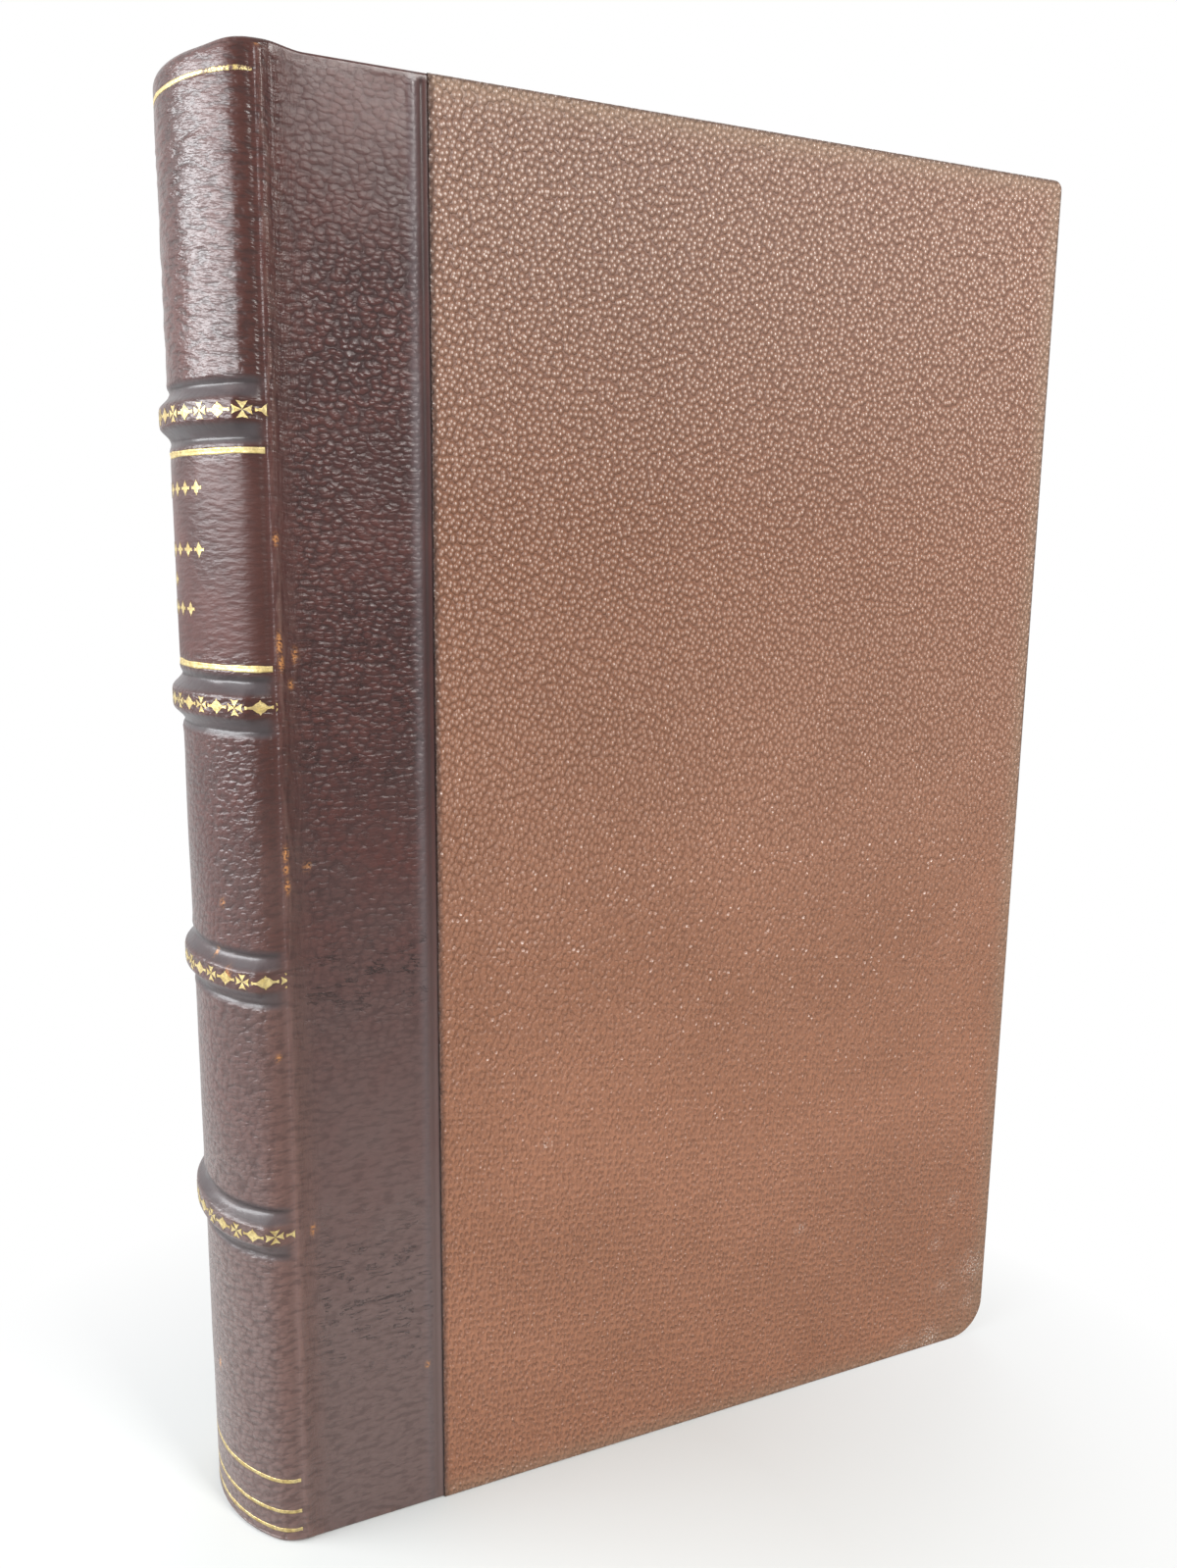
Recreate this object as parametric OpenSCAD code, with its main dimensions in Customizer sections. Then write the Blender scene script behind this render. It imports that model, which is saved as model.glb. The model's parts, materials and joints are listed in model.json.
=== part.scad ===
// Antique half-leather book, standing on its tail.
// +Z runs from tail to head, +X from the spine to the fore-edge, and the front cover faces -Y.
// All sizes are in millimetres.

/* [Book] */
// Height of the boards, from tail to head
book_h = 220; // [180:1:300]
// Width of a board, from the joint to the fore-edge
board_w = 137.4; // [110:0.2:200]
// Thickness over both covers
book_t = 35.5; // [30:0.5:60]
// Gap at the joint, where the covering leather bends
joint_gap = 0.3; // [0.25:0.05:0.6]

/* [Spine] */
// How far the rounded back stands out from the joints
back_depth = 10.9; // [9:0.1:14]
// Radius of the back at its shoulders, beside the joints
shoulder_r = 6.6; // [5.6:0.1:8]
// Thickness of the leather on the back
leather_t = 0.8; // [0.5:0.05:1.2]
// How much higher the head cap stands than the boards
cap_rise = 0.8; // [0:0.1:1.5]
// Thickness of the leather caps at head and tail
cap_t = 0.75; // [0.5:0.05:1]
// How far the caps reach in over the headbands
cap_reach = 3.2; // [2.6:0.1:3.8]
// Rounding of the caps' outer edge
cap_round = 0.6; // [0.2:0.1:0.7]
// Thickness of the pared leather turned in at head and tail
pared_t = 0.6; // [0.3:0.05:0.8]
// Card that stiffens the hollow back
hollow_t = 0.7; // [0.4:0.05:1]
// Gauze and paper that line the sewn sections
lining_t = 0.4; // [0.2:0.05:0.6]

/* [Raised bands] */
// From the tail of the book to the middle of the lowest band
tail_panel_h = 53.6; // [45:0.2:65]
// From the head of the book to the middle of the highest band
head_panel_h = 45.6; // [38:0.2:60]
// Width of a band where it leaves the back
band_w = 6.2; // [5:0.1:8]
// Width of the flat along a band's crest
band_crest_w = 3; // [2.8:0.1:3.6]
// Height of a band in the middle of the back
band_rise = 1.3; // [0.9:0.1:1.6]
// Distance from the joint at which a band has died away
band_end = 0.8; // [0.6:0.1:2]
// Depth of the grooves nipped in beside each band
nip_depth = 0.3; // [0.1:0.05:0.4]
// Width of those grooves
nip_w = 1.2; // [0.8:0.1:1.6]

/* [Boards] */
// Thickness of the millboard
board_t = 2.4; // [1.6:0.1:3.5]
// Radius of the boards' fore-edge corners
corner_r = 1.6; // [1:0.1:3]
// Radius of the front board's worn corner at the tail
worn_corner_r = 7.2; // [2:0.1:10]
// Width of the leather strip that shows on each board
strip_w = 22.8; // [15:0.2:40]
// Leather under the edge of the cloth
lap_w = 2.5; // [1.5:0.1:5]
// Thickness of the leather on the boards
strip_t = 0.5; // [0.3:0.05:0.8]
// Thickness of the cloth, and of the leather pared for the edges
cloth_t = 0.35; // [0.25:0.05:0.6]
// Rounding of the covered boards' edges
edge_round = 0.3; // [0.1:0.05:0.5]
// Width of the covering turned in on the inside of the boards
turn_in = 15; // [10:0.5:20]
// From the edge of the cloth back to the blind line beside it
blind_line_in = 0.5; // [0.3:0.1:4]
// Width of the blind line
blind_line_w = 0.9; // [0.3:0.1:1.5]
// Depth of the blind line
blind_line_depth = 0.15; // [0.05:0.05:0.25]
// Thickness of the paper pasted down inside the boards
paste_t = 0.15; // [0.1:0.05:0.3]

/* [Text block] */
// How far the boards stand out past the pages
square_w = 3; // [2:0.1:5]
// Depth of the hollow in the fore-edge of the pages
fore_hollow = 4; // [2:0.1:6]
// Thickness of the free endpapers on each side
fly_t = 0.2; // [0.1:0.05:0.4]
// Air between a closed cover and its free endpaper
cover_clearance = 0.1; // [0.05:0.05:0.3]
// Thickness of the silk headbands
headband_d = 2.2; // [1.6:0.1:2.2]
// Number of tapes that the sections are sewn on
tape_count = 4; // [3:1:6]
// Width of a sewing tape
tape_w = 12; // [6:0.5:16]
// Thickness of a sewing tape
tape_t = 0.3; // [0.2:0.05:0.5]
// From the ends of the pages to the outer tapes
tape_end = 18; // [10:0.5:25]

/* [Gilding] */
// Thickness drawn for the gold leaf
leaf_t = 0.06; // [0.04:0.01:0.1]
// Height of the gold line at the head, down from the boards' top
head_line_down = 3.2; // [2:0.1:8]
// Width of the gold line at the head
head_line_w = 0.6; // [0.3:0.1:1.2]
// Distance of the title panel's gold lines from the middle of their bands
panel_line_off = 5.3; // [4.8:0.1:8]
// Width of the title panel's gold lines
panel_line_w = 0.9; // [0.4:0.1:1.4]
// Heights of the three gold lines at the tail
tail_line_z = [2.3, 5.6, 11.1];
// Width of the gold lines at the tail
tail_line_w = 0.6; // [0.3:0.1:1.2]
// Distance between two crosses of the gold roll
roll_pitch = 6.8; // [6:0.1:9]
// Height of a cross in the gold roll
cross_h = 2.5; // [1.8:0.1:2.7]
// Height of a lozenge in the gold roll
lozenge_h = 2; // [1:0.1:2.6]
// Length of a lozenge in the gold roll, with its stems
lozenge_w = 4; // [2:0.1:4.2]
// Distance of the gold roll's ends from the joint
roll_short = 1; // [0.8:0.1:3]
// Depth of the title panel's ornament rows below the top of the panel
title_row_down = [4.9, 13.4, 17.7, 21.8];
// Number of lozenges in each ornament row
title_row_count = [7, 7, 1, 5];
// Distance between lozenges in an ornament row
title_pitch = 3.2; // [2.4:0.1:4.5]
// Length of an ornament lozenge, with its stems
title_lozenge_w = 2.4; // [1.4:0.1:3]
// Height of an ornament lozenge
title_lozenge_h = 2.2; // [1:0.1:3]

/* [Hidden] */
$fn = 64;
eps = 0.01;
headband_sides = 12;

leather_col = [0.33, 0.17, 0.15];
cloth_col = [0.60, 0.42, 0.34];
paper_col = [0.90, 0.85, 0.74];
card_col = [0.62, 0.56, 0.47];
gold_col = [0.85, 0.75, 0.45];

// The joints are the lines x = 0 until the whole book is centred on its own box
centre_x = (board_w - back_depth - band_rise) / 2;
head_z = book_h + cap_rise;

// Depths from the outer face of a cover, going inwards
strip_y = cloth_t;
board_y = strip_y + strip_t;
turn_y = board_y + board_t;
paste_y = turn_y + cloth_t;
fly_y = paste_y + paste_t + cover_clearance;
pages_y = fly_y + fly_t;
pages_t = book_t - 2 * pages_y;

// The text block
pages_h = book_h - 2 * square_w;
fore_x = board_w - square_w;
fore_land = 0.4;
fore_half = pages_t / 2 - fore_land;
fore_r = (fore_half * fore_half + fore_hollow * fore_hollow) / (2 * fore_hollow);
pages_in = leather_t + hollow_t + pared_t + lining_t;

// Raised bands, from the tail upwards
band_count = 4;
band_step = (book_h - tail_panel_h - head_panel_h) / (band_count - 1);
function band_z(i) = tail_panel_h + band_step * i;
top_line_z = band_z(band_count - 1) - panel_line_off;
low_line_z = band_z(band_count - 2) + panel_line_off;

// The round of the back is a wide arc in the middle and a small one at each shoulder,
// tangent to each other and to the covers
wide_r = (back_depth * back_depth + pow(book_t / 2 - shoulder_r, 2) - shoulder_r * shoulder_r)
    / (2 * (back_depth - shoulder_r));
wide_x = wide_r - back_depth;
wide_half = atan2(book_t / 2 - shoulder_r, wide_x);

// Beside each joint a band is planed down to the back at a slope. fade_h is the plane's
// distance from the shoulder's centre, fade_turn is the angle from the plane's direction to
// the crest's small arc, and small_turn is how far that arc turns.
fade_slope = 3;
function fade_h() = band_end * sin(fade_slope)
    + sqrt(shoulder_r * shoulder_r - band_end * band_end) * cos(fade_slope);
function fade_turn(rise) = rise > 0 ? acos(fade_h() / (shoulder_r + rise)) : 0;
function small_turn(rise) = 90 - wide_half
    - (rise > 0 ? fade_slope + fade_turn(rise) : 0);
// Half the length of the gold roll, from the middle of the back to its last motif
crest_half = (wide_r + band_rise) * wide_half * PI / 180
    + (shoulder_r + band_rise) * small_turn(band_rise) * PI / 180
    + (shoulder_r + band_rise) * sin(fade_turn(band_rise));

// The turns of the back's outward direction, from the front joint round to the back joint,
// at which every layer of the back has a point
wide_steps = 14;
shoulder_steps = 8;
turns = concat(
    [for (k = [0:shoulder_steps - 1]) -90 + (90 - wide_half) * k / shoulder_steps],
    [for (k = [0:wide_steps]) wide_half * (2 * k / wide_steps - 1)],
    [for (k = [1:shoulder_steps]) wide_half + (90 - wide_half) * k / shoulder_steps]
);

// Point of the back's outline at a turn, moved outwards by out
function back_point(turn, out) = let (
    wide = abs(turn) <= wide_half,
    centre = wide ? [wide_x, 0] : [0, sign(turn) * (book_t / 2 - shoulder_r)],
    r = wide ? wide_r : shoulder_r
) [0, book_t / 2] + centre + (r + out) * [-cos(turn), sin(turn)];

// Outline of the back moved outwards by out, without the given number of points at each end
function back_path(out, skip = 0) =
    [for (k = [skip:len(turns) - 1 - skip]) back_point(turns[k], out)];

// A strip that follows the back between two depths
module back_layer(outer, inner, z0, z1, skip = 0) {
    translate([0, 0, z0]) linear_extrude(z1 - z0)
        polygon(concat(back_path(-outer, skip), reversed(back_path(-inner, skip))));
}

// Sweeps sections round the back, one section for each turn. The points of a section are
// [distance outwards from the outline, height], up its outer side and down its inner side.
module back_sweep(sections, skip = 0) {
    n = len(sections[0]);
    last = len(sections) - 1;
    polyhedron(
        points = [for (k = [0:last], p = sections[k])
            let (at = back_point(turns[k + skip], p.x)) [at.x, at.y, p.y]],
        faces = concat(
            [[for (i = [0:n - 1]) i], [for (i = [n - 1:-1:0]) last * n + i]],
            [for (k = [0:last - 1], i = [0:n - 1]) let (j = (i + 1) % n)
                [k * n + i, k * n + n + i, k * n + n + j]],
            [for (k = [0:last - 1], i = [0:n - 1]) let (j = (i + 1) % n)
                [k * n + i, k * n + n + j, k * n + j]]
        )
    );
}

// Places children on the back at distance s from its middle, measured along its outline
// or along a band's crest that stands out by rise. Their +X points outwards.
module on_back(s, rise = 0) {
    side = sign(s);
    wide_len = (wide_r + rise) * wide_half * PI / 180;
    small_len = (shoulder_r + rise) * small_turn(rise) * PI / 180;
    past_wide = abs(s) - wide_len;
    past_small = past_wide - small_len;
    if (past_wide <= 0)
        translate([wide_x, book_t / 2, 0])
            rotate([0, 0, 180 - s / (wide_r + rise) * 180 / PI])
            translate([wide_r + rise, 0, 0]) children();
    else
        translate([0, book_t / 2 + side * (book_t / 2 - shoulder_r), 0])
            rotate([0, 0, 180 - side * (wide_half
                + min(past_wide, small_len) / (shoulder_r + rise) * 180 / PI)])
            translate([shoulder_r + rise, 0, 0])
            rotate([0, 0, -side * (past_small > 0 ? fade_turn(rise) : 0)])
            translate([0, -side * max(past_small, 0), 0]) children();
}

module placed() {
    translate([-centre_x, -book_t / 2, 0]) children();
}

// The back cover is the front one seen in a mirror
module placed_back() {
    translate([-centre_x, book_t / 2, 0]) mirror([0, 1, 0]) children();
}

function reversed(list) = [for (k = [len(list) - 1:-1:0]) list[k]];

// How much of its full height a band has at a turn: beside the joints it is planed down
function band_part(turn) = abs(turn) <= wide_half ? 1
    : max(0, min(1, (fade_h() / cos(90 - abs(turn) - fade_slope) - shoulder_r) / band_rise));

// Upper half of a band's section at a turn, in from its leather surface by inset
function band_half(turn, inset) = let (
    rise = band_rise * band_part(turn),
    crest = (band_crest_w - inset) / 2,
    foot = band_w / 2 - inset
) [[rise - inset, crest], [rise * 0.7 - inset, (crest + foot) / 2], [-inset, foot]];

// The whole section of band i, from below to above
function band_section(i, turn, inset) = let (half = band_half(turn, inset))
    [for (p = concat([for (p = reversed(half)) [p.x, -p.y]], half)) [p.x, band_z(i) + p.y]];

module pages() {
    color(paper_col) placed() difference() {
        translate([0, 0, square_w]) linear_extrude(pages_h) polygon(concat(
            back_path(-pages_in),
            [[0, book_t - pages_y], [fore_x, book_t - pages_y], [fore_x, pages_y], [0, pages_y]]
        ));
        translate([fore_x - fore_hollow + fore_r, book_t / 2, square_w - eps])
            cylinder(r = fore_r, h = pages_h + 2 * eps);
        tapes(1);
    }
}

// The tapes across the folds; over makes them stand out, to cut their seats
module tapes(over) {
    step = (pages_h - 2 * tape_end - tape_w) / (tape_count - 1);
    for (i = [0:tape_count - 1])
        back_layer(pages_in - over, pages_in + tape_t,
            square_w + tape_end + step * i, square_w + tape_end + step * i + tape_w);
}

module sewing_tapes() { color([0.85, 0.80, 0.68]) placed() tapes(0); }

module flyleaf() {
    translate([joint_gap, fly_y, square_w]) cube([fore_x - joint_gap, fly_t, pages_h]);
}

module front_flyleaf() { color([0.84, 0.78, 0.66]) placed() flyleaf(); }

module back_flyleaf() { color([0.84, 0.78, 0.66]) placed_back() flyleaf(); }

module spine_lining() {
    color([0.80, 0.76, 0.66]) placed()
        back_layer(pages_in - lining_t, pages_in, square_w, square_w + pages_h);
}

// A headband that rests on the pages' ends: z is their height and side points away from them
module headband(z, side) {
    r = headband_d / 2;
    middle = [-pages_in - r, z + side * r * cos(180 / headband_sides)];
    ring = [for (k = [0:headband_sides - 1]) let (a = 360 * (k + 0.5) / headband_sides)
        middle + r * [cos(a), sin(a)]];
    back_sweep([for (turn = turns) ring]);
}

module head_band() {
    color([0.66, 0.28, 0.20]) placed() headband(square_w + pages_h, 1);
}

module tail_band() {
    color([0.66, 0.28, 0.20]) placed() headband(square_w, -1);
}

module hollow_back() {
    color(card_col) placed()
        back_layer(leather_t, leather_t + hollow_t, cap_t, head_z - cap_t);
}

// The strip under the leather that raises band i, as far as the band stands out
module raised_band(i) {
    first = [for (k = [0:shoulder_steps]) if (band_part(turns[k]) > 0) k][0];
    color(card_col) placed() back_sweep([for (k = [first:len(turns) - 1 - first])
        band_section(i, turns[k], leather_t)], first);
}

// Rounded outer edge of a cap, as points of its section
function cap_edge(z, side) = [for (a = [0:22.5:90])
    [cap_round * (sin(a) - 1), z + side * cap_round * (1 - cos(a))]];

// Outer side of a band with the grooves nipped in beside it, from below to above
function band_side(i, turn) = let (
    groove = -nip_depth * band_part(turn),
    low = band_z(i) - band_w / 2,
    high = band_z(i) + band_w / 2
) concat(
    [[0, low - nip_w], [groove, low - nip_w / 2]],
    band_section(i, turn, 0),
    [[groove, high + nip_w / 2], [0, high + nip_w]]
);

// Inner side of one end, from the cap's lip to the wall: z is the end and side points inwards
function end_side(z, side) = let (turned = leather_t + hollow_t, cap = z + side * cap_t) [
    [-cap_reach, z], [-cap_reach, cap], [-turned - pared_t, cap],
    [-turned - pared_t, z + side * turn_in], [-turned, z + side * turn_in],
    [-turned, cap], [-leather_t, cap]
];

// Section of the leather on the back: wall and bands, a cap at each end and the ends turned in
function leather_section(turn) = concat(
    cap_edge(0, 1),
    [for (i = [0:band_count - 1]) each band_side(i, turn)],
    reversed(cap_edge(head_z, -1)),
    end_side(head_z, -1),
    [for (i = [band_count - 1:-1:0]) each reversed(band_section(i, turn, leather_t))],
    reversed(end_side(0, 1))
);

module spine_leather() {
    color(leather_col) placed() back_sweep([for (turn = turns) leather_section(turn)]);
}

// A gold line round the back at height z, which stops just short of the joints
module gilt_line(z, w) {
    color(gold_col) placed() back_layer(-leaf_t, 0, z - w / 2, z + w / 2, 1);
}

module gilt_head_line() { gilt_line(book_h - head_line_down, head_line_w); }

module gilt_panel_lines() {
    gilt_line(top_line_z, panel_line_w);
    gilt_line(low_line_z, panel_line_w);
}

module gilt_tail_lines() {
    for (z = tail_line_z) gilt_line(z, tail_line_w);
}

// Cross with four arms that widen outwards
module cross_shape(size) {
    tip = size / 2;
    for (turn = [0:90:270])
        rotate(turn) polygon([
            [-0.12, 0], [0.12, 0], [tip * 0.5, tip], [-tip * 0.5, tip]
        ]);
}

// Lozenge with a thin stem on each side
module lozenge_shape(w, h) {
    polygon([
        [-w / 2, -0.15], [-w / 2, 0.15], [-w * 0.3, 0.2], [0, h / 2], [w * 0.3, 0.2],
        [w / 2, 0.15], [w / 2, -0.15], [w * 0.3, -0.2], [0, -h / 2], [-w * 0.3, -0.2]
    ]);
}

// Stands a flat shape up as a stamp that cuts it out of the gold leaf
module stamp() {
    rotate([90, 0, 90]) linear_extrude(1, center = true) children();
}

module gilt_roll(i) {
    crest = [for (turn = turns) band_rise * band_part(turn)];
    color(gold_col) placed() intersection() {
        translate([0, 0, band_z(i) - band_crest_w / 2]) linear_extrude(band_crest_w)
            polygon(concat(
                [for (k = [1:len(turns) - 2]) back_point(turns[k], crest[k] + leaf_t)],
                [for (k = [len(turns) - 2:-1:1]) back_point(turns[k], crest[k])]
            ));
        for (s = [-roll_pitch * 5:roll_pitch:roll_pitch * 5]) {
            if (abs(s) + cross_h / 2 < crest_half - roll_short)
                on_back(s, band_rise) translate([0, 0, band_z(i)])
                    stamp() cross_shape(cross_h);
            if (abs(s + roll_pitch / 2) + lozenge_w / 2 < crest_half - roll_short)
                on_back(s + roll_pitch / 2, band_rise) translate([0, 0, band_z(i)])
                    stamp() lozenge_shape(lozenge_w, lozenge_h);
        }
    }
}

module gilt_title_ornament() {
    color(gold_col) placed() intersection() {
        back_layer(-leaf_t, 0, low_line_z, top_line_z);
        for (row = [0:len(title_row_down) - 1], k = [0:title_row_count[row] - 1])
            on_back((k - (title_row_count[row] - 1) / 2) * title_pitch)
                translate([0, 0, top_line_z - title_row_down[row]])
                stamp() lozenge_shape(title_lozenge_w, title_lozenge_h);
    }
}

// Outline of a cover in the XZ plane, from x0 to its fore-edge and in by the given margin
module cover_outline(x0, margin, tail_r) {
    head_corner = max(corner_r - margin, 0.2);
    tail_corner = max(tail_r - margin, 0.2);
    top = book_h - margin;
    right = board_w - margin;
    difference() {
        translate([x0, margin]) square([right - x0, top - margin]);
        translate([right - head_corner, top - head_corner]) difference() {
            square(head_corner + eps);
            circle(head_corner);
        }
        translate([right - tail_corner, margin + tail_corner]) mirror([0, 1]) difference() {
            square(tail_corner + eps);
            circle(tail_corner);
        }
    }
}

// Raises an outline of the XZ plane into a sheet between two depths of the cover
module sheet(y0, y1) {
    translate([0, y1, 0]) rotate([90, 0, 0]) linear_extrude(y1 - y0) children();
}

module board(tail_r) {
    sheet(board_y, turn_y) cover_outline(2 * joint_gap, cloth_t, tail_r);
}

// Section of the covering across a board's height, open towards the board
module strip_section(edge_t) {
    out_y = strip_y;
    in_y = paste_y;
    difference() {
        polygon([
            [out_y + edge_round, 0], [in_y - edge_round, 0], [in_y, edge_round],
            [in_y, book_h - edge_round], [in_y - edge_round, book_h],
            [out_y + edge_round, book_h], [out_y, book_h - edge_round], [out_y, edge_round]
        ]);
        translate([board_y, edge_t]) square([board_t, book_h - 2 * edge_t]);
        translate([turn_y - eps, turn_in]) square([cloth_t + 1, book_h - 2 * turn_in]);
    }
}

module strip() {
    line_x = strip_w - blind_line_in - blind_line_w;
    difference() {
        union() {
            translate([joint_gap, 0, 0]) rotate([90, 0, 90])
                linear_extrude(strip_w - joint_gap) strip_section(cloth_t);
            sheet(strip_y, board_y)
                translate([strip_w - eps, cloth_t]) square([lap_w + eps, book_h - 2 * cloth_t]);
        }
        translate([line_x, strip_y - 1, -eps])
            cube([blind_line_w, 1 + blind_line_depth, book_h + 2 * eps]);
    }
}

module outer_filling(tail_r) {
    sheet(strip_y, board_y) cover_outline(strip_w + lap_w, cloth_t, tail_r);
}

module cloth(tail_r) {
    difference() {
        union() {
            sheet(0, edge_round) cover_outline(strip_w, edge_round, tail_r);
            sheet(edge_round, paste_y) cover_outline(strip_w, 0, tail_r);
        }
        sheet(strip_y, turn_y) cover_outline(strip_w - 1, cloth_t, tail_r);
        sheet(turn_y - eps, paste_y + eps) translate([strip_w - 1, turn_in])
            square([board_w - strip_w + 1 - turn_in, book_h - 2 * turn_in]);
    }
}

module inner_filling() {
    sheet(turn_y, paste_y) translate([2 * joint_gap, turn_in])
        square([board_w - turn_in - 2 * joint_gap, book_h - 2 * turn_in]);
}

module pastedown() {
    sheet(paste_y, paste_y + paste_t) translate([2 * joint_gap, square_w])
        square([fore_x - 2 * joint_gap, pages_h]);
}

module front_board() { color(card_col) placed() board(worn_corner_r); }

module front_leather() { color(leather_col) placed() strip(); }

module front_outer_filling() { color(card_col) placed() outer_filling(worn_corner_r); }

module front_cloth() { color(cloth_col) placed() cloth(worn_corner_r); }

module front_inner_filling() { color(card_col) placed() inner_filling(); }

module front_pastedown() { color([0.84, 0.78, 0.66]) placed() pastedown(); }

module back_board() { color(card_col) placed_back() board(corner_r); }

module back_leather() { color(leather_col) placed_back() strip(); }

module back_outer_filling() { color(card_col) placed_back() outer_filling(corner_r); }

module back_cloth() { color(cloth_col) placed_back() cloth(corner_r); }

module back_inner_filling() { color(card_col) placed_back() inner_filling(); }

module back_pastedown() { color([0.84, 0.78, 0.66]) placed_back() pastedown(); }

pages();
front_flyleaf();
back_flyleaf();
sewing_tapes();
spine_lining();
head_band();
tail_band();
hollow_back();
raised_band(0);  // raised_band_1
raised_band(1);  // raised_band_2
raised_band(2);  // raised_band_3
raised_band(3);  // raised_band_4
spine_leather();
gilt_head_line();
gilt_panel_lines();
gilt_tail_lines();
gilt_roll(0);  // gilt_roll_1
gilt_roll(1);  // gilt_roll_2
gilt_roll(2);  // gilt_roll_3
gilt_roll(3);  // gilt_roll_4
gilt_title_ornament();
front_board();
front_leather();
front_outer_filling();
front_cloth();
front_inner_filling();
front_pastedown();
back_board();
back_leather();
back_outer_filling();
back_cloth();
back_inner_filling();
back_pastedown();
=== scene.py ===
import json
import math

import bmesh
import bpy
import numpy as np
from mathutils import Matrix, Vector


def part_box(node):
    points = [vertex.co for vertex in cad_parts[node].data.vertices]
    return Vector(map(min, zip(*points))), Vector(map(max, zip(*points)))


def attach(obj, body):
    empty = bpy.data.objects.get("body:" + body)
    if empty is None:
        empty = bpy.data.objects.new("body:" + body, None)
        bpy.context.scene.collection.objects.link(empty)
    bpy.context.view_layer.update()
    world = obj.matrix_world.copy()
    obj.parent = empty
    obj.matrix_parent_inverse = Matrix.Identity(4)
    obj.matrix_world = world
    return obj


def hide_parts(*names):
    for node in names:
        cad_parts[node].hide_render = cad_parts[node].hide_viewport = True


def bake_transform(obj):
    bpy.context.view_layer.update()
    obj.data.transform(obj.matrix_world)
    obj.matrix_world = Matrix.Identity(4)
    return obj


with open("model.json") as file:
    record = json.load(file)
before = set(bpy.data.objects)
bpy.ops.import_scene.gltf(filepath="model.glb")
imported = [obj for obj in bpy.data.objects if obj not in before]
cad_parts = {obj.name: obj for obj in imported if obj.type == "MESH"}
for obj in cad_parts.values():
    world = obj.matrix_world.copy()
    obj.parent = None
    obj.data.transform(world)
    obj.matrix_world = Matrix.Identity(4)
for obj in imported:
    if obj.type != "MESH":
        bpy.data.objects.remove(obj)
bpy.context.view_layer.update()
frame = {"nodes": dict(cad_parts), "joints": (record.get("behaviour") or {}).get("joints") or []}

# Everything is worked out in millimetres from the front joint's line, as the book was designed:
# x runs from the joint to the fore-edge, y is the depth from a cover's outer face, z is the height.
MM = 0.001
# Axes of a box's corners
X, Z = 0, 2


def side(name, end, axis):
    """Where a node's box begins (end 0) or ends (end 1) along an axis."""
    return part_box(name)[end][axis] / MM


JOINT_X = frame["joints"][0]["pos_m"][0] / MM
BOOK_T = -2 * frame["joints"][0]["pos_m"][1] / MM
BOARD_W = side("front_cloth", 1, X) - JOINT_X
STRIP_W = side("front_cloth", 0, X) - JOINT_X
STRIP_END = side("front_leather", 1, X) - JOINT_X
BOOK_H = side("front_cloth", 1, Z) - side("front_cloth", 0, Z)
HEAD_Z = side("spine_leather", 1, Z) - side("spine_leather", 0, Z)
PAGES_Z = side("pages", 0, Z)
PAGES_TOP = side("pages", 1, Z)
FORE_X = side("pages", 1, X) - JOINT_X
BAND_Z = [(side(f"raised_band_{i}", 0, Z) + side(f"raised_band_{i}", 1, Z)) / 2
          for i in (1, 2, 3, 4)]

# Leather of the back
SHOULDER_R = 6.6
LEATHER_T = 0.8
CARD_T = 0.7
PARED_T = 0.6
CAP_T = 0.75
CAP_REACH = 3.2
CAP_ROUND = 0.9
HEAD_ROUND = 2.1
CAP_DIP = 0.15
TURN_IN = 15.0
BAND_RISE = 1.3
BAND_W = 6.2
BAND_FADE_START = 0.8
BAND_FADE_SLOPE = math.radians(3)
BAND_WANDER = 0.22
NIP_FAR = BAND_W / 2 + 0.45
NIP_DEPTH = 0.36
NIP_RIM = 0.09
JOINT_RIDGE = 0.20
GROOVE_IN = 0.95
GROOVE_DEPTH = 0.15
RIDGE_IN = 2.15
RIDGE_RISE = 0.11
GOLD_LINE_DEPTH = 0.07
BACK_DEPTH = JOINT_X - side("spine_leather", 0, X) - BAND_RISE

# Covers, as depths from the outer face
CLOTH_T = 0.35
STRIP_T = 0.5
BOARD_T = 2.4
STRIP_Y = CLOTH_T
BOARD_Y = STRIP_Y + STRIP_T
TURN_Y = BOARD_Y + BOARD_T
PASTE_Y = TURN_Y + CLOTH_T
EDGE_ROUND = 0.45
HEAD_CORNER_R = 1.6
WORN_CORNER_R = 7.2

# The wide arc in the middle of the back and the small arc at each shoulder
HALF_FLAT = BOOK_T / 2 - SHOULDER_R
WIDE_R = (BACK_DEPTH ** 2 + HALF_FLAT ** 2 - SHOULDER_R ** 2) / (2 * (BACK_DEPTH - SHOULDER_R))
WIDE_X = WIDE_R - BACK_DEPTH
WIDE_HALF = math.atan2(HALF_FLAT, WIDE_X)
WIDE_LEN = WIDE_R * WIDE_HALF
HALF_LEN = WIDE_LEN + SHOULDER_R * (math.pi / 2 - WIDE_HALF)

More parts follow.
